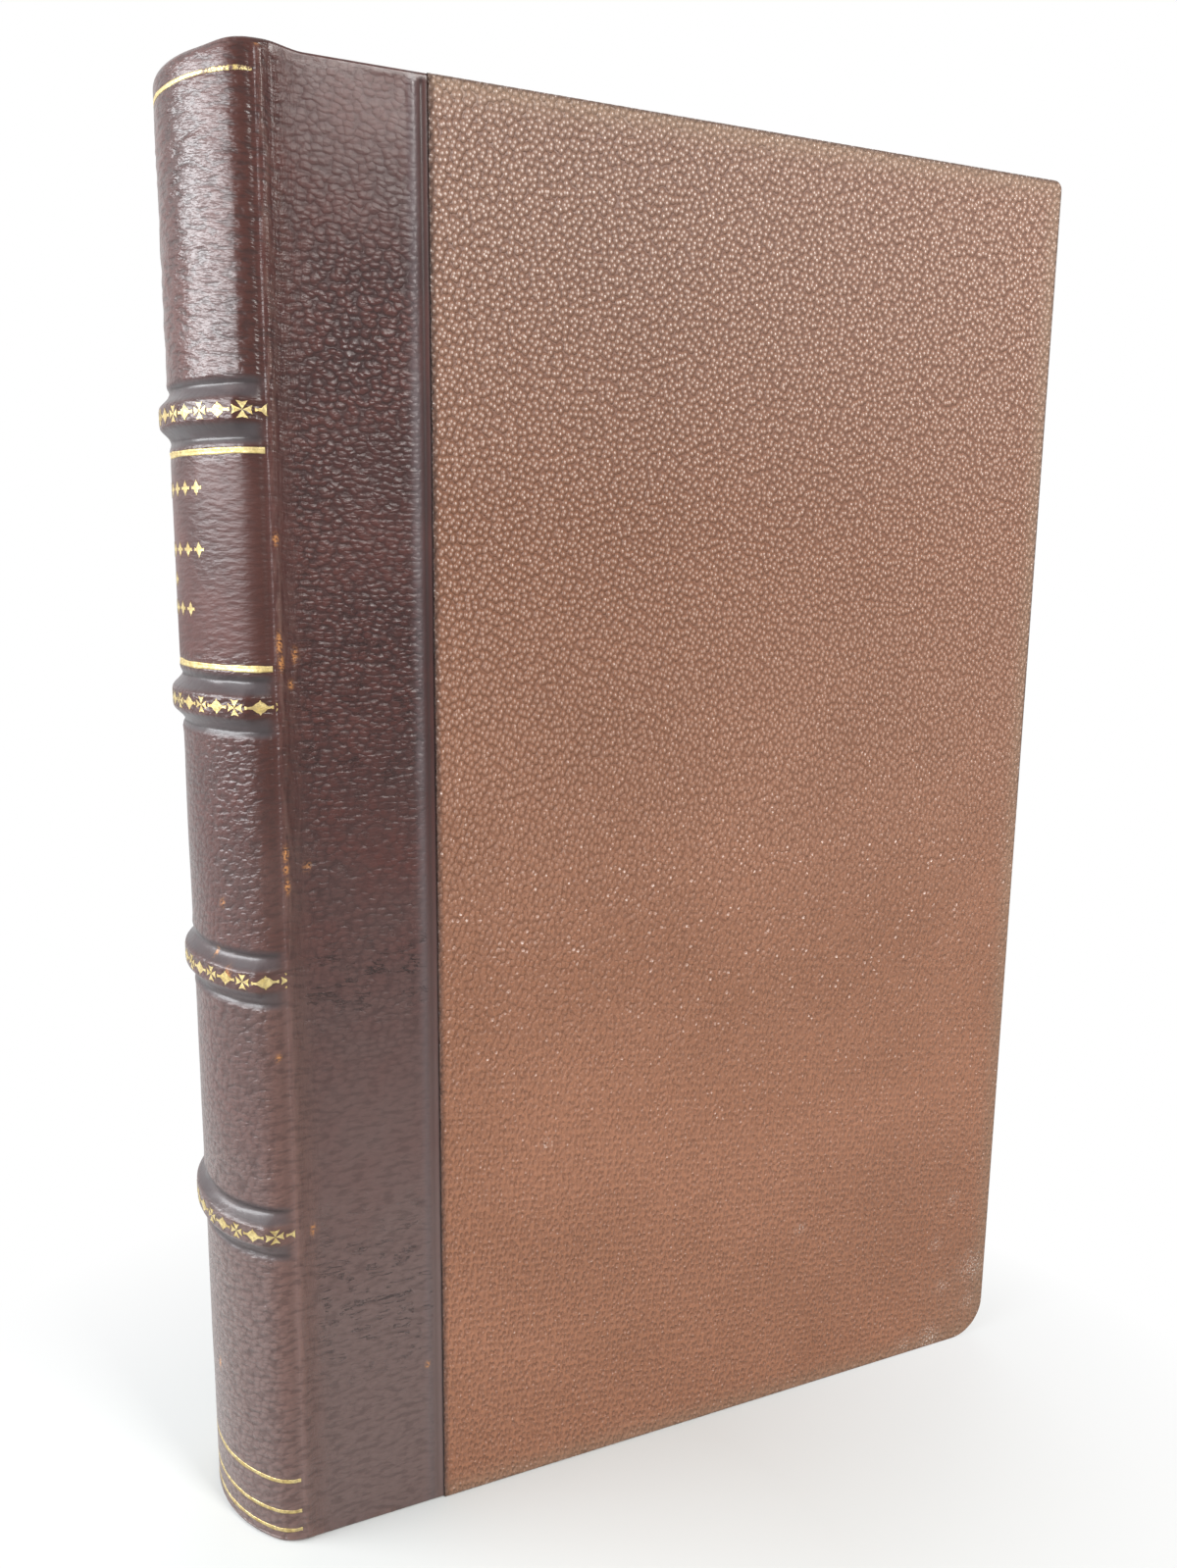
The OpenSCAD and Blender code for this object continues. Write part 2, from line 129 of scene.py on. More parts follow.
# Gold tooling
LEAF_LIFT = 0.035
LET_IN = 0.12
STAMP_CUTS = 3
HEAD_LINE_Z = (side("gilt_head_line", 0, Z) + side("gilt_head_line", 1, Z)) / 2
HEAD_LINE_W = side("gilt_head_line", 1, Z) - side("gilt_head_line", 0, Z)
PANEL_LINE_W = 0.9
PANEL_LINES_Z = [side("gilt_panel_lines", 0, Z) + PANEL_LINE_W / 2,
                 side("gilt_panel_lines", 1, Z) - PANEL_LINE_W / 2]
TAIL_LINE_W = 0.6
TAIL_LINES_Z = [2.3, 5.6, 11.1]
LINE_HALF = HALF_LEN - 0.7
GOLD_LINES = ([(HEAD_LINE_Z, HEAD_LINE_W)] + [(z, PANEL_LINE_W) for z in PANEL_LINES_Z]
              + [(z, TAIL_LINE_W) for z in TAIL_LINES_Z])

# How closely the sheets are divided
LEATHER_STEP = 0.55
BAND_STEP = 0.27
JOINT_STEP = 0.24
CLOTH_STEP = 0.95
GOLD_STEP = 0.4
ROUND_STEPS = 8
INNER_ROWS = 8

# Camera, from a fit to the outline of the book in a picture of 1200 by 1599 pixels
PICTURE = (1200, 1599)
FOCAL_PIXELS = 1292.03
CAMERA_AT = (-97.70, -196.86, 156.25)
CAMERA_YAW = math.radians(24.859)
CAMERA_PITCH = math.radians(10.451)
CAMERA_ROLL = math.radians(0.587)


# Small helpers
def smooth(t):
    t = np.clip(t, 0.0, 1.0)
    return t * t * (3.0 - 2.0 * t)


def between(value, low, high):
    return smooth((value - low) / (high - low))


def bell(value, width):
    return np.exp(-(value / width) ** 2)


def noise(x, y, cell, seed, size=128):
    """Smooth noise from -1 to 1 with lumps about one cell wide."""
    table = np.random.default_rng(seed).uniform(-1.0, 1.0, (size, size))
    x, y = np.broadcast_arrays(np.asarray(x, float) / cell, np.asarray(y, float) / cell)
    xi, yi = np.floor(x).astype(int), np.floor(y).astype(int)
    u, v = smooth(x - xi), smooth(y - yi)
    xi, yi, xj, yj = xi % size, yi % size, (xi + 1) % size, (yi + 1) % size
    low = table[xi, yi] * (1 - u) + table[xj, yi] * u
    high = table[xi, yj] * (1 - u) + table[xj, yj] * u
    return low * (1 - v) + high * v


def rough_noise(x, y, cell, seed):
    """Three layers of noise, each half as wide and half as strong as the one before."""
    return sum(noise(x, y, cell / 2 ** k, seed + k) / 2 ** k for k in range(3)) / 1.6


def stepped(start, end, slack, step):
    """Places from start to end, each one step(place) after the one before."""
    places = [start]
    while places[-1] < end - slack:
        places.append(places[-1] + step(places[-1]))
    places[-1] = end
    return np.array(places)


def stacked(*values):
    """Points or pairs from their coordinates, each an array or a single value."""
    return np.stack(np.broadcast_arrays(*values), axis=-1)


def in_place(points, back=False):
    """Moves points from the design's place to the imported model's, in metres."""
    p = np.array(points, float)
    p[..., 0] += JOINT_X
    p[..., 1] -= BOOK_T / 2
    if back:
        p[..., 1] *= -1
    return p * MM


def grid_faces(count, ring, closed=False):
    """Faces between neighbouring rings of points, which are open or closed on themselves."""
    pairs = [(i, (i + 1) % ring) for i in range(ring if closed else ring - 1)]
    return [[k * ring + i, (k + 1) * ring + i, (k + 1) * ring + j, k * ring + j]
            for k in range(count - 1) for i, j in pairs]


def new_object(name, data):
    item = bpy.data.objects.new(name, data)
    bpy.context.scene.collection.objects.link(item)
    return item


def mesh_object(name, points, faces, material, uv=None, smooth_faces=True, marks=None):
    """Makes an object from points in metres, with one UV pair and named marks for each point."""
    mesh = bpy.data.meshes.new(name)
    mesh.from_pydata(np.asarray(points, float).tolist(), [], faces)
    mesh.polygons.foreach_set("use_smooth", [smooth_faces] * len(mesh.polygons))
    if uv is not None:
        layer = mesh.uv_layers.new(name="along")
        index = np.zeros(len(mesh.loops), np.int32)
        mesh.loops.foreach_get("vertex_index", index)
        layer.data.foreach_set("uv", np.asarray(uv, np.float32)[index].ravel())
    for key, values in (marks or {}).items():
        attribute = mesh.attributes.new(key, "FLOAT", "POINT")
        attribute.data.foreach_set("value", np.asarray(values, np.float32).ravel())
    mesh.materials.append(material)
    mesh.update()
    return new_object(name, mesh)


def feed(tree, item, inputs):
    """Sets a node's inputs, each to a value or to the socket that feeds it."""
    for key, value in inputs.items():
        if isinstance(value, bpy.types.NodeSocket):
            tree.links.new(value, item.inputs[key])
        else:
            item.inputs[key].default_value = value


def make(tree, kind, inputs=None, **settings):
    item = tree.nodes.new(kind)
    for key, value in settings.items():
        setattr(item, key, value)
    feed(tree, item, inputs or {})
    return item


def calc(tree, operation, a, b=0.0, c=0.0, clamp=False):
    return make(tree, "ShaderNodeMath", {0: a, 1: b, 2: c}, operation=operation,
                use_clamp=clamp).outputs[0]


def times(tree, a, b, clamp=False):
    return calc(tree, "MULTIPLY", a, b, clamp=clamp)


def span(tree, value, from_low, from_high, to_low=0.0, to_high=1.0):
    return make(tree, "ShaderNodeMapRange", {
        "Value": value, "From Min": from_low, "From Max": from_high,
        "To Min": to_low, "To Max": to_high}).outputs["Result"]


def total(tree, parts):
    """Adds up sockets, each times its own weight, which is a value or a socket."""
    result = None
    for socket, weight in parts:
        part = times(tree, socket, weight)
        result = part if result is None else calc(tree, "ADD", result, part)
    return result


def mix(tree, factor, a, b):
    return make(tree, "ShaderNodeMix", {0: factor, 6: a, 7: b}, data_type="RGBA").outputs[2]


def colour(r, g, b):
    return (r, g, b, 1.0)


def tones(tree, factor, low, high):
    """A colour between two tones."""
    return mix(tree, factor, colour(*low), colour(*high))


def layered(tree, base, layers):
    """Lays tints over a base colour one after the other, each by its own amount."""
    for amount, tint in layers:
        base = mix(tree, amount, base, colour(*tint))
    return base


def mark(tree, name):
    return make(tree, "ShaderNodeAttribute", attribute_name=name).outputs["Fac"]


def scaled(tree, vector, scale, turn=0.0):
    return make(tree, "ShaderNodeMapping", {
        "Vector": vector, "Scale": scale, "Rotation": (0.0, 0.0, turn)}).outputs[0]


def sheet_place(tree):
    """Millimetres across and up a sheet, whose UV map is in centimetres."""
    along = make(tree, "ShaderNodeUVMap", uv_map="along").outputs[0]
    return scaled(tree, along, (10.0, 10.0, 10.0))


def solid_place(tree):
    """Millimetres in a piece's own space."""
    place = make(tree, "ShaderNodeTexCoord").outputs["Object"]
    return scaled(tree, place, (1000.0, 1000.0, 1000.0))


def noise_map(tree, vector, scale, detail=3.0, roughness=0.55, dimensions="3D"):
    return make(tree, "ShaderNodeTexNoise", {
        "Vector": vector, "Scale": scale, "Detail": detail, "Roughness": roughness},
        noise_dimensions=dimensions).outputs[0]


def flat_noise(tree, vector, scale, detail=2.0, roughness=0.55):
    """Noise over the first two coordinates only, for sheets."""
    return noise_map(tree, vector, scale, detail, roughness, "2D")


def domes(tree, vector, scale, randomness):
    """Low domes packed side by side, 1 on their tops and 0 deep in the seams."""
    far = make(tree, "ShaderNodeTexVoronoi", {
        "Vector": vector, "Scale": scale, "Randomness": randomness},
        voronoi_dimensions="2D").outputs["Distance"]
    return calc(tree, "MULTIPLY_ADD", times(tree, far, far), -2.2, 1.0, clamp=True)


def bumps(tree, parts):
    """A normal bumped by the weighted sum of its parts, in millimetres."""
    return make(tree, "ShaderNodeBump", {
        "Height": total(tree, parts), "Distance": MM, "Strength": 1.0}).outputs[0]


def new_material(name, roughness=0.5, specular=0.5):
    material = bpy.data.materials.new(name)
    material.use_nodes = True
    tree = material.node_tree
    shader = tree.nodes["Principled BSDF"]
    feed(tree, shader, {"Roughness": roughness, "Specular IOR Level": specular})
    return material, tree, shader


# Materials
def leather_material():
    """Dark red-brown goatskin, grained, creased, cracked and burnished, with painted shade, sheen and
    highlights as its marks say.
    """
    material, tree, shader = new_material("goatskin", specular=0.31)
    mm = sheet_place(tree)
    blotch = flat_noise(tree, mm, 0.08, 4.0)
    fine = flat_noise(tree, mm, 2.4)
    shift = make(tree, "ShaderNodeTexNoise", {"Vector": mm, "Scale": 0.45}, noise_dimensions="2D")
    uneven = make(tree, "ShaderNodeVectorMath", {0: mm, 1: shift.outputs["Color"]},
                  operation="ADD").outputs[0]
    cells = domes(tree, scaled(tree, uneven, (0.76, 1.06, 1.0), 0.15), 1.0, 0.78)
    streaks = flat_noise(tree, scaled(tree, mm, (0.42, 1.25, 1.0)), 1.0, 2.0, 0.45)
    upright = flat_noise(tree, scaled(tree, mm, (1.7, 0.24, 1.0), 0.04), 1.0, 3.0)
    cracked = flat_noise(tree, scaled(tree, mm, (0.15, 0.85, 1.0)), 1.0, 4.0, 0.6)
    off_middle = calc(tree, "ABSOLUTE", calc(tree, "SUBTRACT", cracked, 0.5))
    crack = times(tree, span(tree, off_middle, 0.0, 0.030, 1.0, 0.0),
                  span(tree, flat_noise(tree, mm, 0.4), 0.48, 0.60))
    cracks = times(tree, crack, mark(tree, "cracks"))
    grain = mark(tree, "grain")
    wrinkle = mark(tree, "wrinkle")
    burnish_and_sheen = mark(tree, "burnish_and_sheen")
    red = mark(tree, "red")
    ends = mark(tree, "ends")

    up = make(tree, "ShaderNodeSeparateXYZ", {0: mm}).outputs["Y"]
    low = calc(tree, "MULTIPLY_ADD", blotch, 40.0, up)
    # Painted sheen: low down the leather is made paler and greyer, standing in for the floor's
    # reflection, and its reddish streaks are as pale
    low_floor_sheen = span(tree, low, 55.0, 135.0, 0.9, 0.0)
    reddened = times(tree, times(tree, red, span(tree, low, 20.0, 80.0, 0.3, 0.8)), low_floor_sheen)
    # Painted shade in the grain's seams and in the creases
    seams = times(tree, span(tree, cells, 0.35, 0.8, 0.75, 0.0), grain)
    fold_shade = times(tree, span(tree, streaks, 0.36, 0.5, 0.6, 0.0), wrinkle)
    rubbed = times(tree, mark(tree, "wear"), span(tree, upright, 0.38, 0.62), clamp=True)
    spots = times(tree, mark(tree, "spot"), span(tree, fine, 0.40, 0.55), clamp=True)
    base = tones(tree, span(tree, blotch, 0.35, 0.65), (0.042, 0.0098, 0.0078),
                 (0.062, 0.0152, 0.0115))
    base = layered(tree, base, [
        (red, (0.042, 0.010, 0.006)),
        # Painted sheen low down, standing in for the floor's reflection
        (low_floor_sheen, (0.126, 0.083, 0.076)),
        (reddened, (0.125, 0.048, 0.033)),
        # Painted shade in the grain's seams and the creases
        (seams, (0.020, 0.005, 0.005)),
        (fold_shade, (0.020, 0.007, 0.006)),
        # Burnished flanks and nips, their grey, lighter tint a painted sheen
        (times(tree, burnish_and_sheen, 0.8), (0.044, 0.040, 0.044)),
        # Painted highlight on the ridge beside the cloth
        (times(tree, mark(tree, "ridge_highlight"), 0.6), (0.135, 0.108, 0.114)),
        # Painted shade in the grooves and nips, and a painted shadow beside the cloth's edge
        (times(tree, mark(tree, "groove_shade"), 0.85), (0.014, 0.008, 0.008)),
        (rubbed, (0.150, 0.080, 0.064)),
        (spots, (0.44, 0.185, 0.055)),
        (times(tree, cracks, 0.5), (0.024, 0.009, 0.008))])

    rough = total(tree, [
        (burnish_and_sheen, -0.08), (grain, span(tree, cells, 0.45, 0.95, 0.05, -0.04)),
        (span(tree, wrinkle, 0.32, 0.62, 0.14, 0.0), 1.0),
        (span(tree, blotch, 0.3, 0.7, 0.27, 0.32), 1.0), (ends, 0.28)])
    feed(tree, shader, {
        "Base Color": base, "Roughness": rough, "Coat Roughness": 0.18,
        "Coat Weight": span(tree, ends, 0.0, 1.0, 0.17, 0.0),
        "Sheen Weight": 0.05, "Sheen Roughness": 0.4,
        "Normal": bumps(tree, [
            (cells, times(tree, grain, 0.18)), (streaks, times(tree, wrinkle, 0.34)),
            (upright, times(tree, mark(tree, "joint"), 0.30)), (cracks, -0.22), (fine, 0.015)])})
    return material


def cloth_material():
    """Orange-brown book cloth with a pressed pebble grain, shiny on top and pitted low down, with
    painted glints, shade and sheen.
    """
    material, tree, shader = new_material("pebbled_cloth")
    mm = sheet_place(tree)
    place = make(tree, "ShaderNodeSeparateXYZ", {0: mm})
    height = place.outputs["Y"]
    high = span(tree, height, 60.0, 200.0)
    # Painted sheen, lighter towards the fore-edge in the upper part
    outwards = span(tree, place.outputs["X"], 50.0, 132.0, 0.0, 0.24)
    cells = domes(tree, scaled(tree, mm, (1.20, 0.98, 1.0), 0.55), 1.04, 0.68)
    pores = domes(tree, scaled(tree, mm, (1.20, 0.84, 1.0), 0.1), 1.04, 0.6)
    fine = flat_noise(tree, mm, 2.6)
    cloudy = flat_noise(tree, mm, 0.03, 4.0)

    # Painted shade between the pebbles, stronger higher up
    gap_shade = times(tree, span(tree, cells, 0.0, 0.45, 1.0, 0.0),
                 calc(tree, "MULTIPLY_ADD", high, 0.62, 0.08))
    # Pits pressed in by the bump, their darker colour a painted shade
    pitted = times(tree, span(tree, pores, 0.55, 0.95), span(tree, height, 40.0, 150.0, 1.0, 0.0))
    # Painted glints on the pebbles' tops in the upper part
    painted_glints = times(tree, span(tree, cells, 0.84, 0.97),
                 calc(tree, "MULTIPLY_ADD", high, 0.62, -0.14), clamp=True)
    scuffs = times(tree, mark(tree, "scuff"),
                   span(tree, flat_noise(tree, mm, 2.8, 3.0, 0.7), 0.56, 0.70), clamp=True)
    base = tones(tree, span(tree, cloudy, 0.3, 0.7), (0.250, 0.102, 0.051), (0.298, 0.126, 0.067))
    base = layered(tree, base, [
        (times(tree, high, 0.66), (0.165, 0.072, 0.042)),
        (span(tree, height, 160.0, 218.0, 0.0, 0.45), (0.33, 0.215, 0.165)),
        # Painted sheen towards the fore-edge
        (times(tree, outwards, high), (0.52, 0.26, 0.175)),
        # Painted shade between the pebbles
        (gap_shade, (0.110, 0.040, 0.021)),
        # Painted shade in the pits
        (times(tree, pitted, 0.36), (0.145, 0.056, 0.030)),
        # Painted glints on the pebbles' tops
        (painted_glints, (0.70, 0.58, 0.52))])
    worn = tones(tree, high, (0.225, 0.140, 0.088), (0.35, 0.235, 0.160))
    base = mix(tree, times(tree, mark(tree, "wear"), 0.6), base, worn)
    base = layered(tree, base, [
        (scuffs, (0.74, 0.64, 0.58)),
        (times(tree, mark(tree, "edge"), 0.75), (0.085, 0.045, 0.036))])

    rough = calc(tree, "ADD", span(tree, cells, 0.3, 0.9, 0.50, 0.24),
                 span(tree, height, 20.0, 200.0, 0.06, -0.04))
    feed(tree, shader, {
        "Base Color": base, "Roughness": rough,
        "Normal": bumps(tree, [(cells, span(tree, height, 50.0, 150.0, 0.14, 0.42)),
                               (pitted, -0.20), (fine, 0.04)])})
    return material


def gold_material():
    """Gold leaf, partly rubbed through to the leather."""
    material, tree, shader = new_material("gold_leaf", 0.42)
    mm = sheet_place(tree)
    rub = times(tree, mark(tree, "rub"),
                span(tree, flat_noise(tree, mm, 1.6, 4.0, 0.7), 0.44, 0.54), clamp=True)
    base = tones(tree, span(tree, flat_noise(tree, mm, 0.7), 0.35, 0.65), (0.52, 0.39, 0.15),
                 (0.68, 0.55, 0.26))
    feed(tree, shader, {
        "Base Color": layered(tree, base, [(rub, (0.06, 0.018, 0.013))]),
        "Metallic": calc(tree, "SUBTRACT", 0.9, rub, clamp=True),
        "Normal": bumps(tree, [(flat_noise(tree, mm, 2.5), 0.05)])})
    return material


def leaves_material():
    """Trimmed edges of aged paper, layered leaf by leaf and soiled in patches."""
    material, tree, shader = new_material("page_edges", 0.85, 0.2)
    mm = solid_place(tree)
    layers = noise_map(tree, scaled(tree, mm, (0.02, 4.0, 0.02)), 1.0, 4.0, 0.7)
    soiled = noise_map(tree, scaled(tree, mm, (0.05, 0.25, 0.03)), 1.0, 4.0)
    base = tones(tree, span(tree, layers, 0.3, 0.7), (0.52, 0.41, 0.26), (0.71, 0.62, 0.46))
    base = layered(tree, base, [(span(tree, soiled, 0.45, 0.75, 0.0, 0.5), (0.46, 0.33, 0.19))])
    feed(tree, shader, {"Base Color": base, "Normal": bumps(tree, [(layers, 0.10)])})
    return material


def paper_material():
    """Plain endpaper with faint brown spots and fine fibres."""
    material, tree, shader = new_material("endpaper", 0.8, 0.25)
    mm = solid_place(tree)
    foxing = span(tree, noise_map(tree, mm, 0.12, 6.0, 0.65), 0.55, 0.78, 0.0, 0.4)
    fibre = noise_map(tree, mm, 3.0)
    feed(tree, shader, {
        "Base Color": tones(tree, foxing, (0.63, 0.55, 0.41), (0.52, 0.40, 0.26)),
        "Normal": bumps(tree, [(fibre, 0.02)])})
    return material


def plain_material(name, rgb, roughness=0.8):
    """A material for what lies inside: one colour, slightly mottled."""
    material, tree, shader = new_material(name, roughness, 0.3)
    mottle = span(tree, noise_map(tree, solid_place(tree), 0.6, 4.0), 0.35, 0.65)
    feed(tree, shader, {"Base Color": tones(tree, mottle, rgb, [0.75 * c for c in rgb])})
    return material


goatskin = leather_material()
pebbled_cloth = cloth_material()
gold_leaf = gold_material()
page_edges = leaves_material()
endpaper = paper_material()
millboard = plain_material("millboard", (0.36, 0.29, 0.20))
linen = plain_material("linen", (0.62, 0.55, 0.42))
red_silk = plain_material("red_silk", (0.36, 0.05, 0.035), 0.45)
cream_silk = plain_material("cream_silk", (0.70, 0.58, 0.38), 0.45)


# The leather, from the back joint over the back to the front board
def back_outline(across, depth):
    """Points of the back: across is 0 in its middle and grows towards the front joint."""
    inner = np.abs(across) <= WIDE_LEN
    past = np.sign(across) * (np.abs(across) - WIDE_LEN)
    turn = np.where(inner, across / WIDE_R,
                    np.sign(across) * WIDE_HALF + past / SHOULDER_R)
    centre_x = np.where(inner, WIDE_X, 0.0)
    centre_y = BOOK_T / 2 - np.where(inner, 0.0, np.sign(across) * HALF_FLAT)
    radius = np.where(inner, WIDE_R, SHOULDER_R) - depth
    return centre_x - radius * np.cos(turn), centre_y - radius * np.sin(turn)


def band_part(across):
    """How much of its full height a band has, planed down beside the joints as in the model."""
    angle = (HALF_LEN - np.abs(across)) / SHOULDER_R
    plane = BAND_FADE_START * math.sin(BAND_FADE_SLOPE) + math.cos(BAND_FADE_SLOPE) * math.sqrt(
        SHOULDER_R ** 2 - BAND_FADE_START ** 2)
    rise = plane / np.cos(np.clip(angle, 0, 1.2) - BAND_FADE_SLOPE) - SHOULDER_R
    part = np.clip(rise / BAND_RISE, 0.0, 1.0)
    return np.where(angle > math.pi / 2 - WIDE_HALF, 1.0, np.where(angle < 0, 0.0, part))


def joint_part(across):
    """Nips are pressed in up to the joints, where they fade within two millimetres."""
    return between(HALF_LEN - np.abs(across), 0.1, 2.4)


def band_middle(i, across):
    """Height of band i along its length; an old band is never quite straight."""
    return BAND_Z[i] + BAND_WANDER * noise(across, 7.0 * i, 9.0, 41)


def leather_height(across, up):
    """How far the leather's outer surface stands out from the plain back, in millimetres."""
    across, up = np.broadcast_arrays(across, up)
    on_back = 1 - between(across, HALF_LEN - 1.0, HALF_LEN + 0.5)
    h = 0.07 * rough_noise(across, up, 14.0, 3)
    head_creases = noise(across * 0.25 - up * 0.35, across * 0.3 + up * 1.2, 1.0, 23)
    in_head = between(up, BAND_Z[3] + 5, BAND_Z[3] + 12) * between(HEAD_LINE_Z - up, 0.5, 3.0)
    h = h + 0.09 * head_creases * in_head * on_back
    for i in range(4):
        far = np.abs(up - band_middle(i, across))
        ridge = 1 - between(far, 1.25, BAND_W / 2)
        nip = bell(far - NIP_FAR, 0.5) * (0.75 + 0.25 * noise(across, up, 3.0, 5 + i))
        rim = bell(far - NIP_FAR - 1.15, 0.5)
        h = h + band_part(across) * BAND_RISE * ridge
        h = h + joint_part(across) * (NIP_RIM * rim - NIP_DEPTH * nip)
    on_line = on_back * between(LINE_HALF - np.abs(across), 0, 0.3)
    for z, w in GOLD_LINES:
        h = h - GOLD_LINE_DEPTH * bell(up - z, w * 0.62) * on_line
    joint = across - HALF_LEN
    h = h + (across > 0) * (JOINT_RIDGE * bell(joint - 0.2, 0.6) - 0.14 * bell(joint + 1.1, 0.5)
                            - 0.10 * bell(joint - 1.5, 0.5))
    edge = joint - STRIP_W
    h = h - GROOVE_DEPTH * bell(edge + GROOVE_IN, 0.36) + RIDGE_RISE * bell(edge + RIDGE_IN, 0.6)
    return h * between(HALF_LEN + across, 0.0, 1.5)


def arc_steps(r):
    """(inset, drop) along a quarter round, from the outer face to the edge."""
    angles = np.linspace(0, math.pi / 2, ROUND_STEPS)
    return [(r * (1 - math.cos(a)), r * (1 - math.sin(a))) for a in angles]


def end_profile():
    """The turned-in end above the outer face as (depth, distance below the end), back and strip."""
    turned = LEATHER_T + CARD_T
    back = arc_steps(CAP_ROUND)
    strip = [(STRIP_Y + d, z) for d, z in arc_steps(EDGE_ROUND)]
    back += [(HEAD_ROUND + 0.1, 0.0), (HEAD_ROUND + 0.3, 0.0), (CAP_REACH - 0.25, 0.02),
             (CAP_REACH, 0.25), (CAP_REACH, CAP_T - 0.2), (CAP_REACH - 0.2, CAP_T),
             (turned + PARED_T, CAP_T),
             (turned + PARED_T, TURN_IN), (turned, TURN_IN), (turned, CAP_T), (LEATHER_T, CAP_T)]
    strip += [(1.5, 0.0), (2.5, 0.0), (PASTE_Y - EDGE_ROUND, 0.0), (PASTE_Y - 0.1, 0.12),
              (PASTE_Y, EDGE_ROUND), (PASTE_Y, 1.2), (PASTE_Y, 2.5),
              (PASTE_Y, TURN_IN), (TURN_Y, TURN_IN), (TURN_Y, CLOTH_T), (BOARD_Y, CLOTH_T)]
    return np.array(back), np.array(strip)


def rounded_off(drop):
    """Depth of the head cap's round edge, at a distance below the head."""
    rest = np.clip(HEAD_ROUND - drop, 0.0, HEAD_ROUND)
    return HEAD_ROUND - np.sqrt(HEAD_ROUND ** 2 - rest ** 2)


def cap_lowered(across, up):
    """Height in the cap, which dips in the middle of the back and rises to an ear at each joint."""
    dip = CAP_DIP * (1 - between(np.abs(across), HALF_LEN - 9.0, HALF_LEN - 1.0))
    base = HEAD_LINE_Z + 0.8
    return np.where(up > base, up - dip * (up - base) / (HEAD_Z - base), up)


def outer_rows():
    """Heights of the outer face's rows, closer together on the bands and near the ends."""
    def step(z):
        near_band = min(abs(z - band) for band in BAND_Z)
        near_line = min(abs(z - line) for line, w in GOLD_LINES)
        close = near_band < 4.6 or near_line < 0.8 or min(z, HEAD_Z - z) < 2.6
        return BAND_STEP if close else LEATHER_STEP

    return stepped(CAP_ROUND, HEAD_Z - CAP_ROUND, 0.0, step)


def leather_sheet(name, columns, back=False):
    """The leather over the given columns, one closed loop round its thickness for each."""
    rows = outer_rows()
    back_end, strip_end = end_profile()
    inner_up = np.linspace(0.97, 0.03, INNER_ROWS)
    n_end = len(back_end)
    a = columns[:, None]
    w = between(a, HALF_LEN, HALF_LEN + 2.0)
    top = HEAD_Z + (BOOK_H - HEAD_Z) * between(a, HALF_LEN + 0.5, HALF_LEN + 6.0)
    cap = 1 - between(np.abs(a), 12.0, 20.0)

    def mixed(pair_back, pair_strip):
        return pair_back[None, :] * (1 - w) + pair_strip[None, :] * w

    squeezed = rows[None, :] * (1 - w) + (rows * BOOK_H / HEAD_Z)[None, :] * w
    edge = (between(rows, CAP_ROUND, CAP_ROUND + 0.6)
            * between(HEAD_Z - rows, CAP_ROUND, CAP_ROUND + 0.6))[None, :]
    outer_depth = STRIP_Y * w - leather_height(a, rows[None, :]) * edge
    outer_depth = outer_depth + cap * rounded_off(HEAD_Z - rows)[None, :]
    end_depth = mixed(back_end[:, 0], strip_end[:, 0])
    head_depth = end_depth.copy()
    round_part = rounded_off(back_end[:ROUND_STEPS, 1]) - back_end[:ROUND_STEPS, 0]
    head_depth[:, :ROUND_STEPS] += cap * round_part[None, :]
    # Where the leather runs on under the cloth, its turned-in ends lie below the cloth's
    tuck = 0.45 * between(a, HALF_LEN + STRIP_W + 0.05, HALF_LEN + STRIP_W + 0.3)
    end_drop = np.maximum(mixed(back_end[:, 1], strip_end[:, 1]), tuck)
    inner_depth = mixed(np.full(INNER_ROWS, LEATHER_T), np.full(INNER_ROWS, BOARD_Y))
    depth = np.concatenate([
        outer_depth, head_depth, inner_depth, end_depth[:, ::-1]], axis=1)
    depth = np.where(tuck > 0, np.minimum(depth, PASTE_Y - tuck), depth)
    up = np.concatenate([
        squeezed, top - end_drop, top * inner_up[None, :], end_drop[:, ::-1]], axis=1)
    x, y = back_outline(np.minimum(a, HALF_LEN), depth)
    points = stacked(x + np.maximum(a - HALF_LEN, 0.0), y, cap_lowered(a, up))
    count, ring = depth.shape

    step = np.linalg.norm(np.diff(points[-1], axis=0), axis=1)
    along = np.concatenate([[0], np.cumsum(step)]) + rows[0]
    tail = np.cumsum(step[::-1][:n_end])[::-1]
    along[-n_end:] = rows[0] - tail
    slope = 0.12 - 0.34 * (1 - between(along, 110.0, 185.0))
    sheared = along[None, :] + slope[None, :] * np.minimum(a, HALF_LEN)
    uv = stacked(a, sheared) / 10
    flat_up = np.concatenate([rows, np.full(ring - len(rows) - n_end, -50.0),
                              np.full(n_end, 0.5)])[None, :]
    marks = leather_marks(a, flat_up)
    # The turned-in ends and the inside were never polished
    ends = np.zeros(ring)
    ends[len(rows) + ROUND_STEPS - 2:-n_end] = 1.0
    marks["ends"] = np.broadcast_to(ends, depth.shape)

    last = (count - 1) * ring
    faces = grid_faces(count, ring, closed=True)
    faces += [list(range(ring)), list(range(last, last + ring))[::-1]]
    if back:
        faces = [face[::-1] for face in faces]
    item = mesh_object(name, in_place(points, back).reshape(-1, 3), faces, goatskin,
                       uv.reshape(-1, 2), True, marks)
    return item


